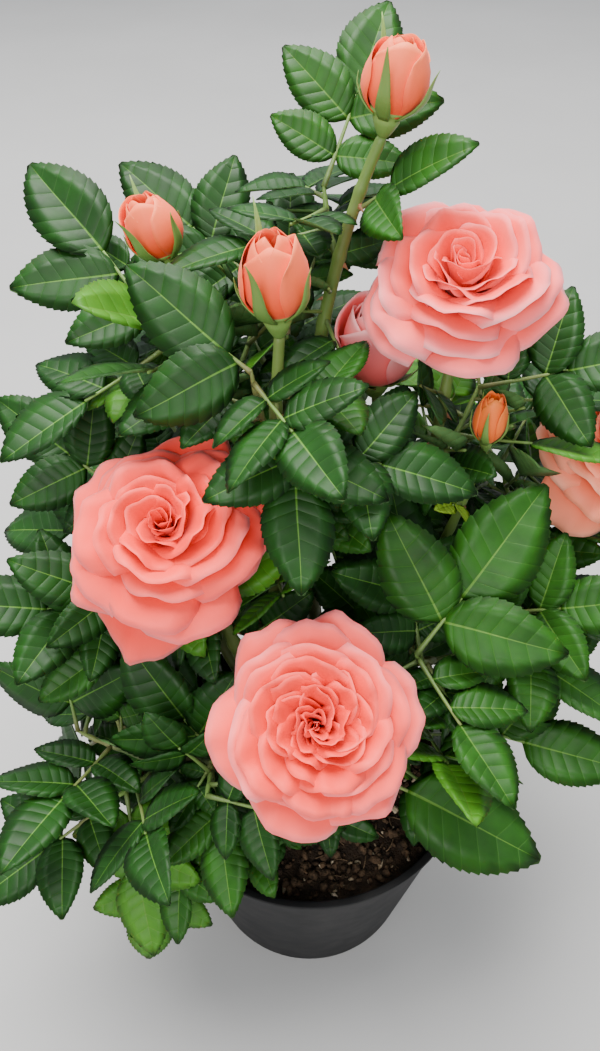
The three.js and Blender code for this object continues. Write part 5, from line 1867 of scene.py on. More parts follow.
@dataclass
class Flowers:
    """Petals of every bloom and bud, and the green hips and sepals that hold them."""

    heads: dict[str, Head]
    finishes: dict[str, Material]
    bloom_seed: int = 40
    bud_seed: int = 80
    calyx_seed: int = 120
    uneven_steps: Pair = (-0.22, 0.22)
    bud_rises: Pair = (0.1, 1)
    bud_flares: Pair = (0.2, 1.5)
    own_tints: Pair = (-0.09, 0.07)
    foot_tint: float = -0.01
    rim_tint: float = 0.49
    side_tint: float = 0.14
    edge_tint: float = 0.24
    back_foot_tint: float = 0.3
    back_rim_tint: float = 0.3
    back_edge_tint: float = 0.12
    sepals: int = 5
    sepal_turn: float = 0.6
    sepal_sizes: tuple[float, ...] = (21, 3.1, 3.6, 8.6, 1.0, 2.3)
    sepal_tint: float = 0.5
    hip_sides: int = 20
    sheet: PetalSheet = field(default_factory=lambda: PetalSheet(14, 16))
    bud_sheet: PetalSheet = field(default_factory=lambda: PetalSheet(12, 14))
    sepal_sheet: PetalSheet = field(default_factory=lambda: PetalSheet(12, 4))

    def petal_tints(self, sheet: PetalSheet, base: float, random: Chance) -> Array:
        """Returns the colour shares of a petal, from deep at its foot to pale at its rim.

        Args:
            sheet: The petal's sheet.
            base: The share at its foot.
            random: Source of its chance.

        Returns:
            The shares of both sides' points.
        """
        s, a = sheet.share, sheet.across
        own = base + random.uniform(*self.own_tints)
        front = (own + self.foot_tint + self.rim_tint * s ** 1.9 + self.side_tint * s * np.abs(a) ** 2
                 + self.edge_tint * s ** 14)
        back = own + self.back_foot_tint + self.back_rim_tint * s ** 1.5 + self.back_edge_tint * s ** 12
        return np.clip(np.concatenate((front.ravel(), back.ravel())), 0, 1)

    def bloom(self, head: Head, index: int) -> bpy.types.Object:
        """Makes the petals of an open bloom.

        Args:
            head: The bloom.
            index: Its number among the heads.

        Returns:
            The new object.
        """
        shade = BLOOM_SHADES[head.plan.style]
        random = np.random.default_rng(self.bloom_seed + index)
        gathered = Gathered()
        for level, ring in enumerate(BLOOM_RINGS[head.plan.style]):
            for i in range(ring.petals):
                share = (i + random.uniform(*self.uneven_steps)) / ring.petals
                angle = ring.aside or head.plan.turn + level * TURN_STEP + share * 2 * math.pi
                points = self.sheet.petal(ring, angle, random) * head.scale
                tints = self.petal_tints(self.sheet, ring.tint + shade, random)
                gathered.add(head.placed(points), self.sheet.faces, tints=tints)
        finish = "petal_peach" if head.plan.name == "bloom_far_right" else "petal"
        piece = gathered.make(head.plan.name + "_petals", [self.finishes[finish]])
        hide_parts(head.plan.name)
        return piece

    @staticmethod
    def form_of(head: Head) -> BudForm:
        """Returns how a bud is wrapped."""
        return HALF_OPEN_BUD if head.plan.style is HeadStyle.HALF_OPEN else TIGHT_BUD

    def bud(self, head: Head, index: int) -> bpy.types.Object:
        """Makes the wrapped petals of a bud.

        Args:
            head: The bud.
            index: Its number among the heads.

        Returns:
            The new object.
        """
        random = np.random.default_rng(self.bud_seed + index)
        half, length = head.plan.width / 2, head.plan.length
        form = self.form_of(head)
        low = form.shoulder
        gathered = Gathered()
        for i in range(form.petals):
            inner = i / form.petals
            scale = form.width - form.narrowing * inner
            rise = 1 - form.lowering * (1 - inner) * random.uniform(*self.bud_rises)
            shape = [(h if h < low else low + (h - low) * rise, r) for h, r in form.outline]
            flare = form.flare * (1 - inner) * half * random.uniform(*self.bud_flares)
            angle = i * TURN_STEP + head.plan.turn
            points = self.bud_sheet.wrap(shape, half * scale, length, form.spread, angle, flare, random)
            tints = self.petal_tints(self.bud_sheet, form.tint - form.tint_step * inner, random)
            gathered.add(head.placed(points), self.bud_sheet.faces, tints=tints)
        finish = self.finishes[BUD_FINISHES[head.plan.style]]
        piece = gathered.make(head.plan.name + "_petals", [finish])
        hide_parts(head.plan.name)
        return piece

    def add_calyx(self, gathered: Gathered, head: Head, index: int) -> None:
        """Adds a head's hip and sepals.

        Args:
            gathered: What it is added to.
            head: The head.
            index: Its number among the heads.
        """
        random = np.random.default_rng(self.calyx_seed + index)
        sheet = self.sepal_sheet
        scale = head.scale if head.is_bloom else 1.0
        half, length = head.plan.width / 2, head.plan.length
        profile = BLOOM_HIP
        if not head.is_bloom:
            profile = [(share * half, level * length) for share, level in BUD_HIP]
        points, faces = lathe(profile, self.hip_sides)
        tints = np.clip(points[:, 2] / max(points[:, 2]), 0, 1)
        gathered.add(head.placed(points * scale), faces, tints=tints)
        tints = np.concatenate((sheet.share.ravel(), sheet.share.ravel())) * self.sepal_tint
        for i in range(self.sepals):
            angle = head.plan.turn + self.sepal_turn + i * 2 * math.pi / self.sepals
            if head.is_bloom:
                points = sheet.sepal(*self.sepal_sizes, angle, random) * scale
            else:
                reach, stand = SEPAL_REACHES[head.plan.style][i]
                outline = self.form_of(head).outline
                points = sheet.bud_sepal(outline, half, length, reach, stand * half, angle, random)
            gathered.add(head.placed(points), sheet.faces, tints=tints)

    def build(self) -> list[bpy.types.Object]:
        """Makes the petals of every head and one piece of hips and sepals.

        Returns:
            The new objects.
        """
        made = []
        calyxes = Gathered()
        for index, head in enumerate(self.heads.values()):
            made.append(self.bloom(head, index) if head.is_bloom else self.bud(head, index))
            self.add_calyx(calyxes, head, index)
        piece = calyxes.make("hips_and_sepals", [self.finishes["calyx"]])
        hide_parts(*self.heads)
        made.append(piece)
        return made


@dataclass
class Canes:
    """Canes, shoots and boughs with their swollen joints and prickles."""

    skeleton: Skeleton
    finishes: dict[str, Material]
    sides: int = 14
    step: float = 1.6
    least_steps: int = 8
    sink: float = 5.0
    joint_every: float = 24.0
    joint_width: float = 1.8
    joint_swell: float = 0.16
    joint_shift: float = 0.3
    broad_ribs: float = 0.035
    fine_ribs: float = 0.02
    tip_share: float = 0.8
    young_over: float = 130.0
    prickle_seed: int = 160
    prickle_every: float = 17.0
    prickle_jitter: Pair = (0.2, 0.9)
    last_prickle: float = 0.95
    prickle_sizes: Pair = (1.8, 2.8)
    prickle_steps: int = 5
    prickle_sides: int = 6
    prickle_sink: float = 0.8
    prickle_hook: float = 0.55
    prickle_stretch: float = 0.7

    def add_limb(self, gathered: Gathered, limb: Limb, index: int) -> None:
        """Adds a limb with its bark's relief.

        Args:
            gathered: What it is added to.
            limb: The limb.
            index: Its number among the limbs.
        """
        steps = max(int(limb.length() / self.step), self.least_steps)
        shares = np.linspace(0, 1, steps + 1)
        middle = np.array([limb.point(t) for t in shares])
        if limb.flare > 0:
            below = limb.start - limb.tangent(0) * self.sink
            middle = np.vstack((below, middle))
            shares = np.concatenate(((0.0,), shares))
        else:
            middle[0] = self.skeleton.roots[limb.name]
        rings = np.array([limb.radius(t) for t in shares])[:, None]
        angles = even_angles(self.sides)
        way = shares[:, None] * limb.length()
        past = (way / self.joint_every + self.joint_shift * index) % 1 - 0.5
        joint = np.exp(-(past * self.joint_every / self.joint_width) ** 2)
        ribs = (np.sin(3 * angles + 0.06 * way + index) * self.broad_ribs
                + np.sin(7 * angles - 0.2 * way) * self.fine_ribs)
        radii = rings * (1 + self.joint_swell * joint + ribs)
        radii[-1] *= self.tip_share
        points, faces = tube(middle, radii, self.sides)
        young = np.clip((points[:, 2] - RULE.soil_top) / self.young_over, 0, 1)
        gathered.add(points, faces, 0, young)

    def add_prickles(self, gathered: Gathered, limb: Limb, index: int) -> None:
        """Adds hooked prickles that point down the cane.

        Args:
            gathered: What they are added to.
            limb: The limb.
            index: Its number among the limbs.
        """
        random = np.random.default_rng(self.prickle_seed + index)
        for i in range(int(limb.length() / self.prickle_every)):
            t = (i + random.uniform(*self.prickle_jitter)) * self.prickle_every / limb.length()
            if t > self.last_prickle:
                continue
            axis = limb.tangent(t)
            side = square_to(vec((1, 0.2, 0)), axis)
            angle = random.uniform(0, 2 * math.pi)
            out = side * math.cos(angle) + np.cross(axis, side) * math.sin(angle)
            root = limb.point(t) + out * limb.radius(t) * self.prickle_sink
            size = random.uniform(*self.prickle_sizes)
            shares = np.linspace(0, 1, self.prickle_steps)
            along = shares[:, None]
            middle = root + out * size * along - axis * size * self.prickle_hook * along ** 2
            radii = (0.75 * (1 - shares) ** 1.3 + 0.04) * size / 2.4
            points, faces = tube(middle, radii, self.prickle_sides)
            stretch = (points - root) @ axis * self.prickle_stretch
            points = points + np.outer(stretch * (1 - np.repeat(shares, self.prickle_sides)), axis)
            gathered.add(points, faces, 1, 0.5)

    def build(self) -> list[bpy.types.Object]:
        """Makes one piece of all canes, shoots and boughs.

        Returns:
            The new object in a list.
        """
        gathered = Gathered()
        for index, limb in enumerate(self.skeleton.limbs.values()):
            self.add_limb(gathered, limb, index)
            self.add_prickles(gathered, limb, index)
        piece = gathered.make("canes_and_boughs", [self.finishes["cane"], self.finishes["prickle"]])
        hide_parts(*self.skeleton.limbs)
        return [piece]


def wall_radius(level: float) -> float:
    """Returns the radius of the pot's wall, without its lip, at a height."""
    slope = (RULE.pot_wall_radius - RULE.pot_base_radius) / RULE.pot_height
    return RULE.pot_base_radius + slope * level


@dataclass
class Pot:
    """Thin round nursery pot with a rolled lip and drain holes."""

    finish: Material
    floor: float = 2.5
    lip_width: float = 2.6
    lip_height: float = 3.5
    sides: int = 96
    drains: int = 6
    drain_radius: float = 4.0
    drain_circle: float = 30.0
    drain_sides: int = 24
    under_lip: float = 0.6
    rounding: float = 0.5
    rounding_steps: int = 3
    rounding_from: float = math.radians(35)
    smooth_under: float = math.radians(40)

    def build(self) -> list[bpy.types.Object]:
        """Models the pot from a cylinder by insets and extrusions.

        Returns:
            The new object in a list.
        """
        height, base = RULE.pot_height, RULE.pot_base_radius
        bpy.ops.object.select_all(action="DESELECT")
        bpy.ops.mesh.primitive_cylinder_add(vertices=self.sides, radius=base * MM, depth=height * MM,
                                            location=(0, 0, height / 2 * MM), end_fill_type="NGON")
        piece = bpy.context.active_object
        piece.name = "pot_shell"
        bpy.ops.object.transform_apply(location=True, rotation=True, scale=True)
        bpy.ops.object.mode_set(mode="EDIT")
        bpy.ops.mesh.select_mode(type="FACE")
        self.pick_top(piece, height)
        grow = RULE.pot_rim_radius / base
        bpy.ops.transform.resize(value=(grow, grow, 1), center_override=(0, 0, height * MM))
        foot = height - self.lip_height
        bpy.ops.mesh.inset(thickness=self.lip_width * MM)
        down = (0, 0, -(height - self.floor) * MM)
        bpy.ops.mesh.extrude_region_move(TRANSFORM_OT_translate={"value": down})
        shrink = (base - RULE.pot_wall) / (RULE.pot_rim_radius - self.lip_width)
        bpy.ops.transform.resize(value=(shrink, shrink, 1), center_override=(0, 0, self.floor * MM))
        for level in (foot, foot - self.under_lip):
            bpy.ops.mesh.select_all(action="SELECT")
            bpy.ops.mesh.bisect(plane_co=(0, 0, level * MM), plane_no=(0, 0, 1))
        bpy.ops.object.mode_set(mode="OBJECT")
        self.draw_wall_in(piece, foot)
        self.drill(piece)
        bevel = piece.modifiers.new("rounding", "BEVEL")
        bevel.width = self.rounding * MM
        bevel.segments = self.rounding_steps
        bevel.limit_method = "ANGLE"
        bevel.angle_limit = self.rounding_from
        bpy.ops.object.modifier_apply(modifier=bevel.name)
        bpy.ops.object.shade_smooth_by_angle(angle=self.smooth_under)
        piece.data.materials.clear()
        piece.data.materials.append(self.finish)
        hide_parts("pot")
        return [piece]

    @staticmethod
    def pick_top(piece: bpy.types.Object, height: float) -> None:
        """Selects only the top face.

        Args:
            piece: The pot.
            height: Its height.
        """
        bpy.ops.mesh.select_all(action="DESELECT")
        bpy.ops.object.mode_set(mode="OBJECT")
        for polygon in piece.data.polygons:
            polygon.select = polygon.normal.z > 0.9 and polygon.center.z > (height - 1) * MM
        bpy.ops.object.mode_set(mode="EDIT")

    def draw_wall_in(self, piece: bpy.types.Object, foot: float) -> None:
        """Draws the wall in under the lip, so that the lip stands proud of it.

        Args:
            piece: The pot.
            foot: Height of the lip's foot.
        """
        for vertex in piece.data.vertices:
            out = math.hypot(vertex.co.x, vertex.co.y) / MM
            level = vertex.co.z / MM
            wall = wall_radius(level)
            is_under_lip = self.floor + 1 < level < foot - self.under_lip / 2
            if is_under_lip and out > wall - RULE.pot_wall / 2:
                factor = wall / out
                vertex.co.x *= factor
                vertex.co.y *= factor

    def drill(self, piece: bpy.types.Object) -> None:
        """Cuts the drain holes through the base.

        Args:
            piece: The pot.
        """
        for i in range(self.drains):
            angle = i / self.drains * 2 * math.pi
            place = (self.drain_circle * math.cos(angle) * MM, self.drain_circle * math.sin(angle) * MM,
                     self.floor / 2 * MM)
            bpy.ops.object.select_all(action="DESELECT")
            bpy.ops.mesh.primitive_cylinder_add(vertices=self.drain_sides, radius=self.drain_radius * MM,
                                                depth=4 * self.floor * MM, location=place)
            cutter = bpy.context.active_object
            bpy.ops.object.select_all(action="DESELECT")
            piece.select_set(True)
            bpy.context.view_layer.objects.active = piece
            cut = piece.modifiers.new("drain", "BOOLEAN")
            cut.operation = "DIFFERENCE"
            cut.solver = "EXACT"
            cut.object = cutter
            bpy.ops.object.modifier_apply(modifier=cut.name)
            bpy.data.objects.remove(cutter)


@dataclass
class Soil:
    """Potting mix with a bumpy top, crumbs, fibres and pale chips."""

    finishes: dict[str, Material]
    gap: float = 0.6
    rings: int = 44
    sides: int = 110
    crumbs: int = 1900
    chips: int = 260
    fibres: int = 150
    seed: int = 9
    foot: float = 2.9
    sunk: float = 0.2
    bumps: tuple[Triple, ...] = ((1.3, 0.09, 0.4), (0.7, 0.35, 3.1))
    crumb_sizes: Pair = (0.6, 1.7)
    crumb_rise: float = 0.35
    crumb_corners: Pair = (0.7, 1.25)
    crumb_ways: Pair = (0.55, 1.2)
    chip_sizes: Pair = (0.4, 1.1)
    chip_reaches: Pair = (1.2, 2.6)
    chip_rise: float = 0.6
    longest_edge: float = 2.1
    crumb_border: float = 2.0
    fibre_border: float = 8.0
    fibre_steps: int = 8
    fibre_sides: int = 5
    fibre_rise: float = 0.5
    fibre_step: float = 0.9
    fibre_bends: Pair = (-0.12, 0.12)
    fibre_radii: Pair = (0.12, 0.28)

    def radius(self, level: float = RULE.soil_top) -> float:
        """Returns the soil's radius at a height, or at its top."""
        return wall_radius(level) - RULE.pot_wall - self.gap

    def top_level(self, x: float, y: float) -> float:
        """Returns the height of the soil's top at a place.

        Args:
            x: First coordinate.
            y: Second coordinate.

        Returns:
            The height.
        """
        level = RULE.soil_top - self.sunk
        for height, waves, layer in self.bumps:
            level += height * noise.noise(Vector((x * waves, y * waves, layer)))
        return level

    def body(self) -> bpy.types.Object:
        """Makes the soil's closed body.

        Returns:
            The new object.
        """
        round_about = [(math.cos(angle), math.sin(angle)) for angle in even_angles(self.sides)]
        points = [(0.0, 0.0, self.top_level(0, 0))]
        for i in range(1, self.rings + 1):
            out = self.radius() * i / self.rings
            points += [(out * x, out * y, self.top_level(out * x, out * y)) for x, y in round_about]
        low = self.radius(self.foot)
        points += [(low * x, low * y, self.foot) for x, y in round_about]
        n = self.sides
        faces: list[list[int]] = [[0, 1 + j, 1 + (j + 1) % n] for j in range(n)]
        for i in range(self.rings):
            a, b = 1 + i * n, 1 + (i + 1) * n
            faces += [[a + j, b + j, b + (j + 1) % n, a + (j + 1) % n] for j in range(n)]
        faces.append([1 + self.rings * n + j for j in range(n)][::-1])
        gathered = Gathered()
        gathered.add(np.array(points), faces)
        piece = gathered.make("soil_body", [self.finishes["soil"]])
        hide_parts("soil")
        return piece

    @staticmethod
    def corners() -> Array:
        """Returns the 12 corners of an even lump, with edges of length 2.

        Returns:
            The corners in rows.
        """
        golden = (1 + math.sqrt(5)) / 2
        flat = [(a * 1.0, b * golden, 0.0) for a in (-1, 1) for b in (-1, 1)]
        return np.array(flat + [(z, x, y) for x, y, z in flat] + [(y, z, x) for x, y, z in flat])

    def crumb_faces(self) -> list[list[int]]:
        """Returns the 20 faces that join a lump's corners, each turned outwards.

        Returns:
            The faces.
        """
        points = self.corners()
        faces = []
        for a, b, c in combinations(range(len(points)), 3):
            three = points[[a, b, c]]
            longest = max(np.linalg.norm(three[i] - three[i - 1]) for i in range(3))
            if longest < self.longest_edge:
                normal = np.cross(three[1] - three[0], three[2] - three[0])
                faces.append([a, b, c] if normal @ three.mean(0) > 0 else [a, c, b])
        return faces

    def crumb_points(self, random: Chance, size: float, reach: float) -> Array:
        """Returns the corners of one uneven crumb, drawn out to a flake where its reach is over 1.

        Args:
            random: Source of its chances.
            size: Its radius.
            reach: How far it is drawn out.

        Returns:
            The corners.
        """
        even = self.corners()
        uneven = (random.uniform(*self.crumb_corners, (len(even), 1))
                  * random.uniform(*self.crumb_ways, 3))
        drawn = uneven * vec((reach, 1.0, 1 / math.sqrt(reach)))
        return turned(even / 1.9 * size * drawn, random.uniform(0, 2 * math.pi))

    def build(self) -> list[bpy.types.Object]:
        """Makes the soil's body and what lies on it.

        Returns:
            The new objects.
        """
        random = np.random.default_rng(self.seed)
        crumbs = Gathered()
        faces = self.crumb_faces()
        for i in range(self.crumbs + self.chips):
            is_chip = i >= self.crumbs
            out = (self.radius() - self.crumb_border) * math.sqrt(random.uniform(0, 1))
            angle = random.uniform(0, 2 * math.pi)
            x, y = out * math.cos(angle), out * math.sin(angle)
            if is_chip:
                size = random.uniform(*self.chip_sizes)
                points = self.crumb_points(random, size, random.uniform(*self.chip_reaches))
            else:
                size = self.crumb_sizes[0] + self.crumb_sizes[1] * random.uniform(0, 1) ** 2
                points = self.crumb_points(random, size, 1.0)
            level = self.top_level(x, y) + size * (self.chip_rise if is_chip else self.crumb_rise)
            crumbs.add(points + vec((x, y, level)), faces, int(is_chip))
        lumps = crumbs.make("soil_crumbs", [self.finishes["crumb"], self.finishes["chip"]])
        return [self.body(), lumps, self.fibre_piece(random)]

    def fibre_piece(self, random: Chance) -> bpy.types.Object:
        """Makes the thin fibres that lie on the soil.

        Args:
            random: Source of their chances.

        Returns:
            The new object.
        """
        gathered = Gathered()
        for _ in range(self.fibres):
            out = (self.radius() - self.fibre_border) * math.sqrt(random.uniform(0, 1))
            angle, heading = random.uniform(0, 2 * math.pi, 2)
            bend = random.uniform(*self.fibre_bends)
            place = vec((out * math.cos(angle), out * math.sin(angle), 0))
            middle = []
            for k in range(self.fibre_steps):
                heading += bend
                place = place + vec((math.cos(heading), math.sin(heading), 0)) * self.fibre_step
                wave = math.sin(k * 0.8 + angle)
                level = self.top_level(place[0], place[1]) + self.fibre_rise + self.fibre_rise * wave
                middle.append((place[0], place[1], level))
            radii = np.full(self.fibre_steps, random.uniform(*self.fibre_radii))
            points, faces = tube(np.array(middle), radii, self.fibre_sides)
            gathered.add(points, faces)
        piece = gathered.make("soil_fibres", [self.finishes["fibre"]])
        return piece


class Nodes:
    """A material's node tree, built from a Principled shader."""

    def __init__(self, name: str) -> None:
        """Makes a material with only its shader and its output.

        Args:
            name: Name of the material.
        """
        self.material = bpy.data.materials.new(name)
        self.material.use_nodes = True
        self.tree = self.material.node_tree
        self.shader = self.tree.nodes["Principled BSDF"]

    def set(self, **values: float | tuple) -> None:
        """Sets the shader's own sockets, with words joined by underscores."""
        for key, value in values.items():
            self.shader.inputs[key.replace("_", " ")].default_value = value

    def add(self, kind: str, **values: float | tuple) -> bpy.types.Node:
        """Adds a node and sets sockets of it, with words joined by underscores.

        Args:
            kind: The node's kind.
            **values: Values of its sockets.

        Returns:
            The node.
        """
        node = self.tree.nodes.new(f"ShaderNode{kind}")
        for key, value in values.items():
            node.inputs[key.replace("_", " ")].default_value = value
        return node

    def link(self, start: Socket, end: Socket) -> None:
        """Leads a socket's value to another one."""
        self.tree.links.new(start, end)

    def noise(self, scale: float, detail: float, stretch: Triple = (1.0, 1.0, 1.0)) -> Socket:
        """Returns a noise over Object coordinates.

        Args:
            scale: Waves for each metre.
            detail: Octaves.
            stretch: Scales along the three axes.

        Returns:
            The noise's factor.
        """
        mapping = self.add("Mapping", Scale=stretch)
        texture = self.add("TexNoise", Scale=scale, Detail=detail)
        self.link(self.add("TexCoord").outputs["Object"], mapping.inputs["Vector"])
        self.link(mapping.outputs["Vector"], texture.inputs["Vector"])
        return texture.outputs["Fac"]

    def tint(self) -> Socket:
        """Returns the piece's own colour share.

        Returns:
            The share.
        """
        attribute = self.add("Attribute")
        attribute.attribute_name = "tint"
        return attribute.outputs["Fac"]

    def ramp(self, factor: Socket, stops: Sequence[tuple[float, Colour]]) -> Socket:
        """Returns a colour that follows a factor from stop to stop.

        Args:
            factor: The factor.
            stops: Pairs of a factor and its colour.

        Returns:
            The colour.
        """
        node = self.add("ValToRGB")
        elements = node.color_ramp.elements
        while len(elements) < len(stops):
            elements.new(0.5)
        for element, (position, colour) in zip(elements, stops):
            element.position = position
            element.color = (*colour, 1.0)
        self.link(factor, node.inputs["Fac"])
        return node.outputs["Color"]

    def mix(self, factor: Socket, a: Socket,
            b: Socket) -> Socket:
        """Returns two colours mixed by a factor.

        Args:
            factor: Share of the second colour.
            a: First colour.
            b: Second colour.

        Returns:
            The mixed colour.
        """
        node = self.add("Mix")
        node.data_type = "RGBA"
        self.link(factor, node.inputs["Factor"])
        self.link(a, node.inputs[6])
        self.link(b, node.inputs[7])
        return node.outputs[2]

    def panels(self, layer: str, count: float) -> Socket:
        """Returns a factor that falls to 0 at each vein and swells to 1 between two of them.

        Args:
            layer: Name of the UV map that runs with the veins.
            count: Veins for each whole U.

        Returns:
            The factor.
        """
        place = self.add("UVMap")
        place.uv_map = layer
        split = self.add("SeparateXYZ")
        self.link(place.outputs["UV"], split.inputs["Vector"])
        last = split.outputs["X"]
        steps = (("MULTIPLY", count * math.pi), ("SINE", None), ("ABSOLUTE", None), ("POWER", 0.6))
        for operation, value in steps:
            step = self.add("Math")
            step.operation = operation
            if value is not None:
                step.inputs[1].default_value = value
            self.link(last, step.inputs[0])
            last = step.outputs[0]
        return last

    def base(self, colour: Socket) -> None:
        """Leads a colour to the shader."""
        self.link(colour, self.shader.inputs["Base Color"])

    def rough(self, factor: Socket, low: float, high: float) -> None:
        """Lets the roughness follow a factor between two limits.

        Args:
            factor: The factor.
            low: Roughness at 0.
            high: Roughness at 1.
        """
        node = self.add("MapRange", To_Min=low, To_Max=high)
        self.link(factor, node.inputs["Value"])
        self.link(node.outputs["Result"], self.shader.inputs["Roughness"])

    def bump(self, height: Socket, strength: float, distance: float) -> None:
        """Lets a factor raise the surface in the light.

        Args:
            height: The factor.
            strength: Strength of the bumps.
            distance: Their height in metres.
        """
        node = self.add("Bump", Strength=strength, Distance=distance)
        self.link(height, node.inputs["Height"])
        self.link(node.outputs["Normal"], self.shader.inputs["Normal"])


@dataclass(frozen=True)
class LeafFinish:
    """Green of a leaf's side: two near greens in soft patches, paler veins and a waxy sheen."""

    name: str
    dark: Colour
    light: Colour
    vein: Colour
    low: float = 0.43
    high: float = 0.57

    def make(self) -> Material:
        """Makes the material.

        Returns:
            The material.
        """
        nodes = Nodes(self.name)
        patches = nodes.ramp(nodes.noise(90, 4), ((0.3, self.dark), (0.72, self.light)))
        panel = nodes.panels(VEIN_MAP, VEINS_TO_U)
        veins = nodes.ramp(panel, ((0.0, self.vein), (1.0, self.vein)))
        share = nodes.ramp(panel, ((0.0, (0.45, 0.45, 0.45)), (0.28, (0.0, 0.0, 0.0))))
        nodes.base(nodes.mix(share, patches, veins))
        nodes.rough(nodes.noise(420, 2), self.low, self.high)
        nodes.bump(panel, 0.42, 0.0007)
        nodes.set(Specular_IOR_Level=0.22, Subsurface_Weight=0.04, Subsurface_Scale=0.002)
        return nodes.material


@dataclass(frozen=True)
class PetalFinish:
    """Silky petal that pales from its foot to its rim."""

    name: str
    stops: tuple[tuple[float, Colour], ...]

    def make(self) -> Material:
        """Makes the material.

        Returns:
            The material.
        """
        nodes = Nodes(self.name)
        nodes.base(nodes.ramp(nodes.tint(), self.stops))
        nodes.rough(nodes.noise(300, 2), 0.5, 0.68)
        nodes.bump(nodes.noise(900, 3), 0.18, 0.0003)
        nodes.set(Specular_IOR_Level=0.3, Subsurface_Weight=0.04, Subsurface_Scale=0.002,
                  Subsurface_Radius=(1.0, 0.35, 0.25), Sheen_Weight=0.08, Sheen_Roughness=0.4)
        return nodes.material


@dataclass(frozen=True)
class StemFinish:
    """Skin of canes, twigs or sepals: green, with the older or outer part in another colour."""

    name: str
    old: Colour
    young: Colour
    patch: Colour
    roughness: Pair = (0.4, 0.6)

    def make(self) -> Material:
        """Makes the material.

        Returns:
            The material.
        """
        nodes = Nodes(self.name)
        skin = nodes.ramp(nodes.tint(), ((0.1, self.old), (0.75, self.young)))
        patch = nodes.ramp(nodes.noise(70, 2), ((0.0, self.patch), (1.0, self.patch)))
        share = nodes.ramp(nodes.noise(55, 4, (1, 1, 0.35)), ((0.5, (0, 0, 0)), (0.8, (0.7, 0.7, 0.7))))
        nodes.base(nodes.mix(share, skin, patch))
        nodes.rough(nodes.noise(240, 2), *self.roughness)
        nodes.bump(nodes.noise(900, 4, (1, 1, 0.25)), 0.4, 0.0005)
        nodes.set(Specular_IOR_Level=0.4)
        return nodes.material


@dataclass(frozen=True)
class PlasticFinish:
    """Dark moulded plastic with a faint grain and patches of dust."""

    name: str
    colour: Colour
    dust: Colour
    wear: float = 1.35

    def make(self) -> Material:
        """Makes the material.

        Returns:
            The material.
        """
        nodes = Nodes(self.name)
        worn = tuple(self.wear * share for share in self.colour)
        plain = nodes.ramp(nodes.noise(30, 3), ((0.3, self.colour), (0.8, worn)))
        dust = nodes.ramp(nodes.noise(90, 5, (1, 1, 0.3)), ((0.4, self.dust), (0.9, self.dust)))
        share = nodes.ramp(nodes.noise(45, 6, (1, 1, 0.4)), ((0.52, (0, 0, 0)), (0.85, (0.4, 0.4, 0.4))))
        nodes.base(nodes.mix(share, plain, dust))
        nodes.rough(nodes.noise(120, 4), 0.46, 0.64)
        nodes.bump(nodes.noise(2600, 2), 0.12, 0.0002)
        nodes.set(Specular_IOR_Level=0.13)
        return nodes.material


@dataclass(frozen=True)
class EarthFinish:
    """Crumbly or fibrous matter in two colours."""

    name: str
    dark: Colour
    light: Colour
    scale: float = 260.0

    def make(self) -> Material:
        """Makes the material.

        Returns:
            The material.
        """
        nodes = Nodes(self.name)
        nodes.base(nodes.ramp(nodes.noise(self.scale, 5), ((0.35, self.dark), (0.7, self.light))))
        nodes.rough(nodes.noise(500, 2), 0.8, 1.0)
        nodes.bump(nodes.noise(1400, 5), 0.9, 0.001)
        nodes.set(Specular_IOR_Level=0.2)
        return nodes.material


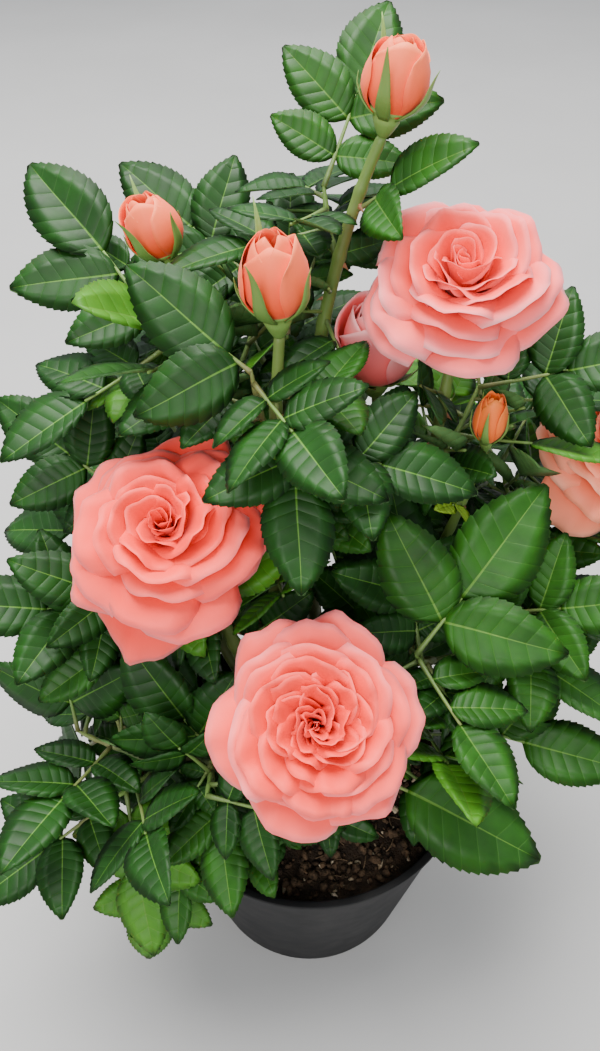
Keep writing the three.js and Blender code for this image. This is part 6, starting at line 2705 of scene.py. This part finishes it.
FINISHES = (
    LeafFinish("leaf_deep", (0.004, 0.026, 0.002), (0.009, 0.056, 0.004), (0.03, 0.11, 0.012)),
    LeafFinish("leaf_middle", (0.008, 0.046, 0.0025), (0.018, 0.095, 0.005), (0.052, 0.17, 0.015)),
    LeafFinish("leaf_fresh", (0.028, 0.115, 0.005), (0.058, 0.2, 0.01), (0.12, 0.3, 0.03)),
    LeafFinish("leaf_young", (0.14, 0.28, 0.012), (0.24, 0.38, 0.028), (0.3, 0.45, 0.07)),
    LeafFinish("leaf_under", (0.045, 0.115, 0.028), (0.075, 0.165, 0.045), (0.12, 0.23, 0.075),
               0.55, 0.75),
    LeafFinish("leaf_under_young", (0.22, 0.36, 0.04), (0.3, 0.42, 0.07), (0.36, 0.48, 0.12),
               0.55, 0.75),
    LeafFinish("leaf_rib", (0.05, 0.14, 0.012), (0.09, 0.2, 0.026), (0.09, 0.2, 0.026), 0.45, 0.6),
    PetalFinish("petal", (
        (0.0, (0.82, 0.022, 0.01)), (0.25, (0.93, 0.04, 0.024)), (0.5, (0.97, 0.09, 0.072)),
        (0.75, (0.98, 0.185, 0.19)), (0.95, (0.99, 0.4, 0.41)))),
    PetalFinish("petal_bud", (
        (0.0, (0.8, 0.04, 0.008)), (0.4, (0.93, 0.09, 0.024)), (0.7, (0.96, 0.16, 0.055)),
        (1.0, (0.97, 0.32, 0.13)))),
    PetalFinish("petal_orange", (
        (0.0, (0.75, 0.06, 0.006)), (0.6, (0.9, 0.17, 0.02)), (1.0, (0.94, 0.3, 0.05)))),
    PetalFinish("petal_peach", (
        (0.0, (0.9, 0.13, 0.05)), (0.5, (0.96, 0.27, 0.15)), (1.0, (0.98, 0.5, 0.36)))),
    StemFinish("cane", (0.09, 0.075, 0.025), (0.11, 0.19, 0.035), (0.17, 0.12, 0.05)),
    StemFinish("twig", (0.08, 0.13, 0.03), (0.13, 0.23, 0.05), (0.2, 0.1, 0.05)),
    StemFinish("calyx", (0.13, 0.24, 0.05), (0.2, 0.33, 0.07), (0.09, 0.2, 0.04)),
    StemFinish("prickle", (0.24, 0.09, 0.04), (0.3, 0.13, 0.06), (0.35, 0.2, 0.1)),
    PlasticFinish("pot_plastic", (0.0045, 0.0045, 0.005), (0.04, 0.038, 0.036)),
    EarthFinish("soil", (0.009, 0.006, 0.004), (0.04, 0.024, 0.014)),
    EarthFinish("crumb", (0.016, 0.01, 0.006), (0.11, 0.066, 0.036), 420),
    EarthFinish("chip", (0.2, 0.14, 0.08), (0.6, 0.5, 0.36), 300),
    EarthFinish("fibre", (0.06, 0.035, 0.018), (0.18, 0.12, 0.07), 200),
)


@dataclass
class Studio:
    """Pale floor, soft light and the camera at the photograph's angle."""

    camera_place: Triple = (-4.0, -174.0, 387.0)
    camera_pitch: float = 44.4
    lens: float = 29.1
    sensor: float = 36.0
    near: float = 0.01
    floor_size: float = 6.0
    floor_dark: Colour = (0.34, 0.335, 0.33)
    floor_light: Colour = (0.38, 0.375, 0.37)
    lit_place: Triple = (0.0, 0.0, 0.17)
    sky_colour: tuple[float, float, float, float] = (0.86, 0.92, 1.0, 1.0)
    sky_strength: float = 0.8
    lamps: tuple[tuple[str, Triple, float, float, Colour], ...] = (
        ("sky_light", (-0.15, 0.4, 1.55), 1.2, 80.0, (1.0, 0.99, 0.97)),
        ("side_light", (-0.35, -1.35, 1.0), 0.9, 26.0, (1.0, 0.97, 0.93)))

    def floor(self) -> None:
        """Lays the plain pale floor."""
        bpy.ops.object.select_all(action="DESELECT")
        bpy.ops.mesh.primitive_plane_add(size=self.floor_size, location=(0, 0, 0))
        floor = bpy.context.active_object
        floor.name = "floor"
        nodes = Nodes("floor_paint")
        nodes.base(nodes.ramp(nodes.noise(3, 4), ((0.3, self.floor_dark), (0.7, self.floor_light))))
        nodes.set(Roughness=0.85)
        floor.data.materials.append(nodes.material)

    def lamp(self, name: str, place: Triple, size: float, power: float,
             colour: Colour) -> None:
        """Adds a soft square light that looks at the crown.

        Args:
            name: Its name.
            place: Its place in metres.
            size: Its side in metres.
            power: Its power in watts.
            colour: Its colour.
        """
        data = bpy.data.lights.new(name, "AREA")
        data.size = size
        data.energy = power
        data.color = colour
        lamp = bpy.data.objects.new(name, data)
        lamp.location = place
        way = Vector(self.lit_place) - Vector(place)
        lamp.rotation_euler = way.to_track_quat("-Z", "Y").to_euler()
        bpy.context.scene.collection.objects.link(lamp)

    def camera(self) -> None:
        """Sets the camera."""
        data = bpy.data.cameras.new("camera")
        data.lens = self.lens
        data.sensor_width = self.sensor
        data.clip_start = self.near
        camera = bpy.data.objects.new("camera", data)
        camera.location = tuple(value * MM for value in self.camera_place)
        camera.rotation_euler = (math.radians(90 - self.camera_pitch), 0, 0)
        bpy.context.scene.collection.objects.link(camera)
        bpy.context.scene.camera = camera

    def build(self) -> None:
        """Makes the studio."""
        world = bpy.data.worlds.new("soft sky")
        world.use_nodes = True
        sky = world.node_tree.nodes["Background"]
        sky.inputs["Color"].default_value = self.sky_colour
        sky.inputs["Strength"].default_value = self.sky_strength
        bpy.context.scene.world = world
        self.floor()
        for lamp in self.lamps:
            self.lamp(*lamp)
        self.camera()


def main() -> None:
    """Builds the plant round the frame."""
    logging.basicConfig(level=logging.INFO, format="%(message)s")
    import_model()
    finishes = {finish.name: finish.make() for finish in FINISHES}
    skeleton = Skeleton()
    skeleton.grow_fine(FinePlan())
    pieces = Foliage(skeleton, finishes).build()
    pieces += Flowers(skeleton.heads, finishes).build()
    pieces += Canes(skeleton, finishes).build()
    pieces += Pot(finishes["pot_plastic"]).build()
    pieces += Soil(finishes).build()
    for piece in pieces:
        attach(piece, "root")
        LOG.info("%s has %d faces", piece.name, len(piece.data.polygons))
    Studio().build()


if __name__ == "__main__":
    main()
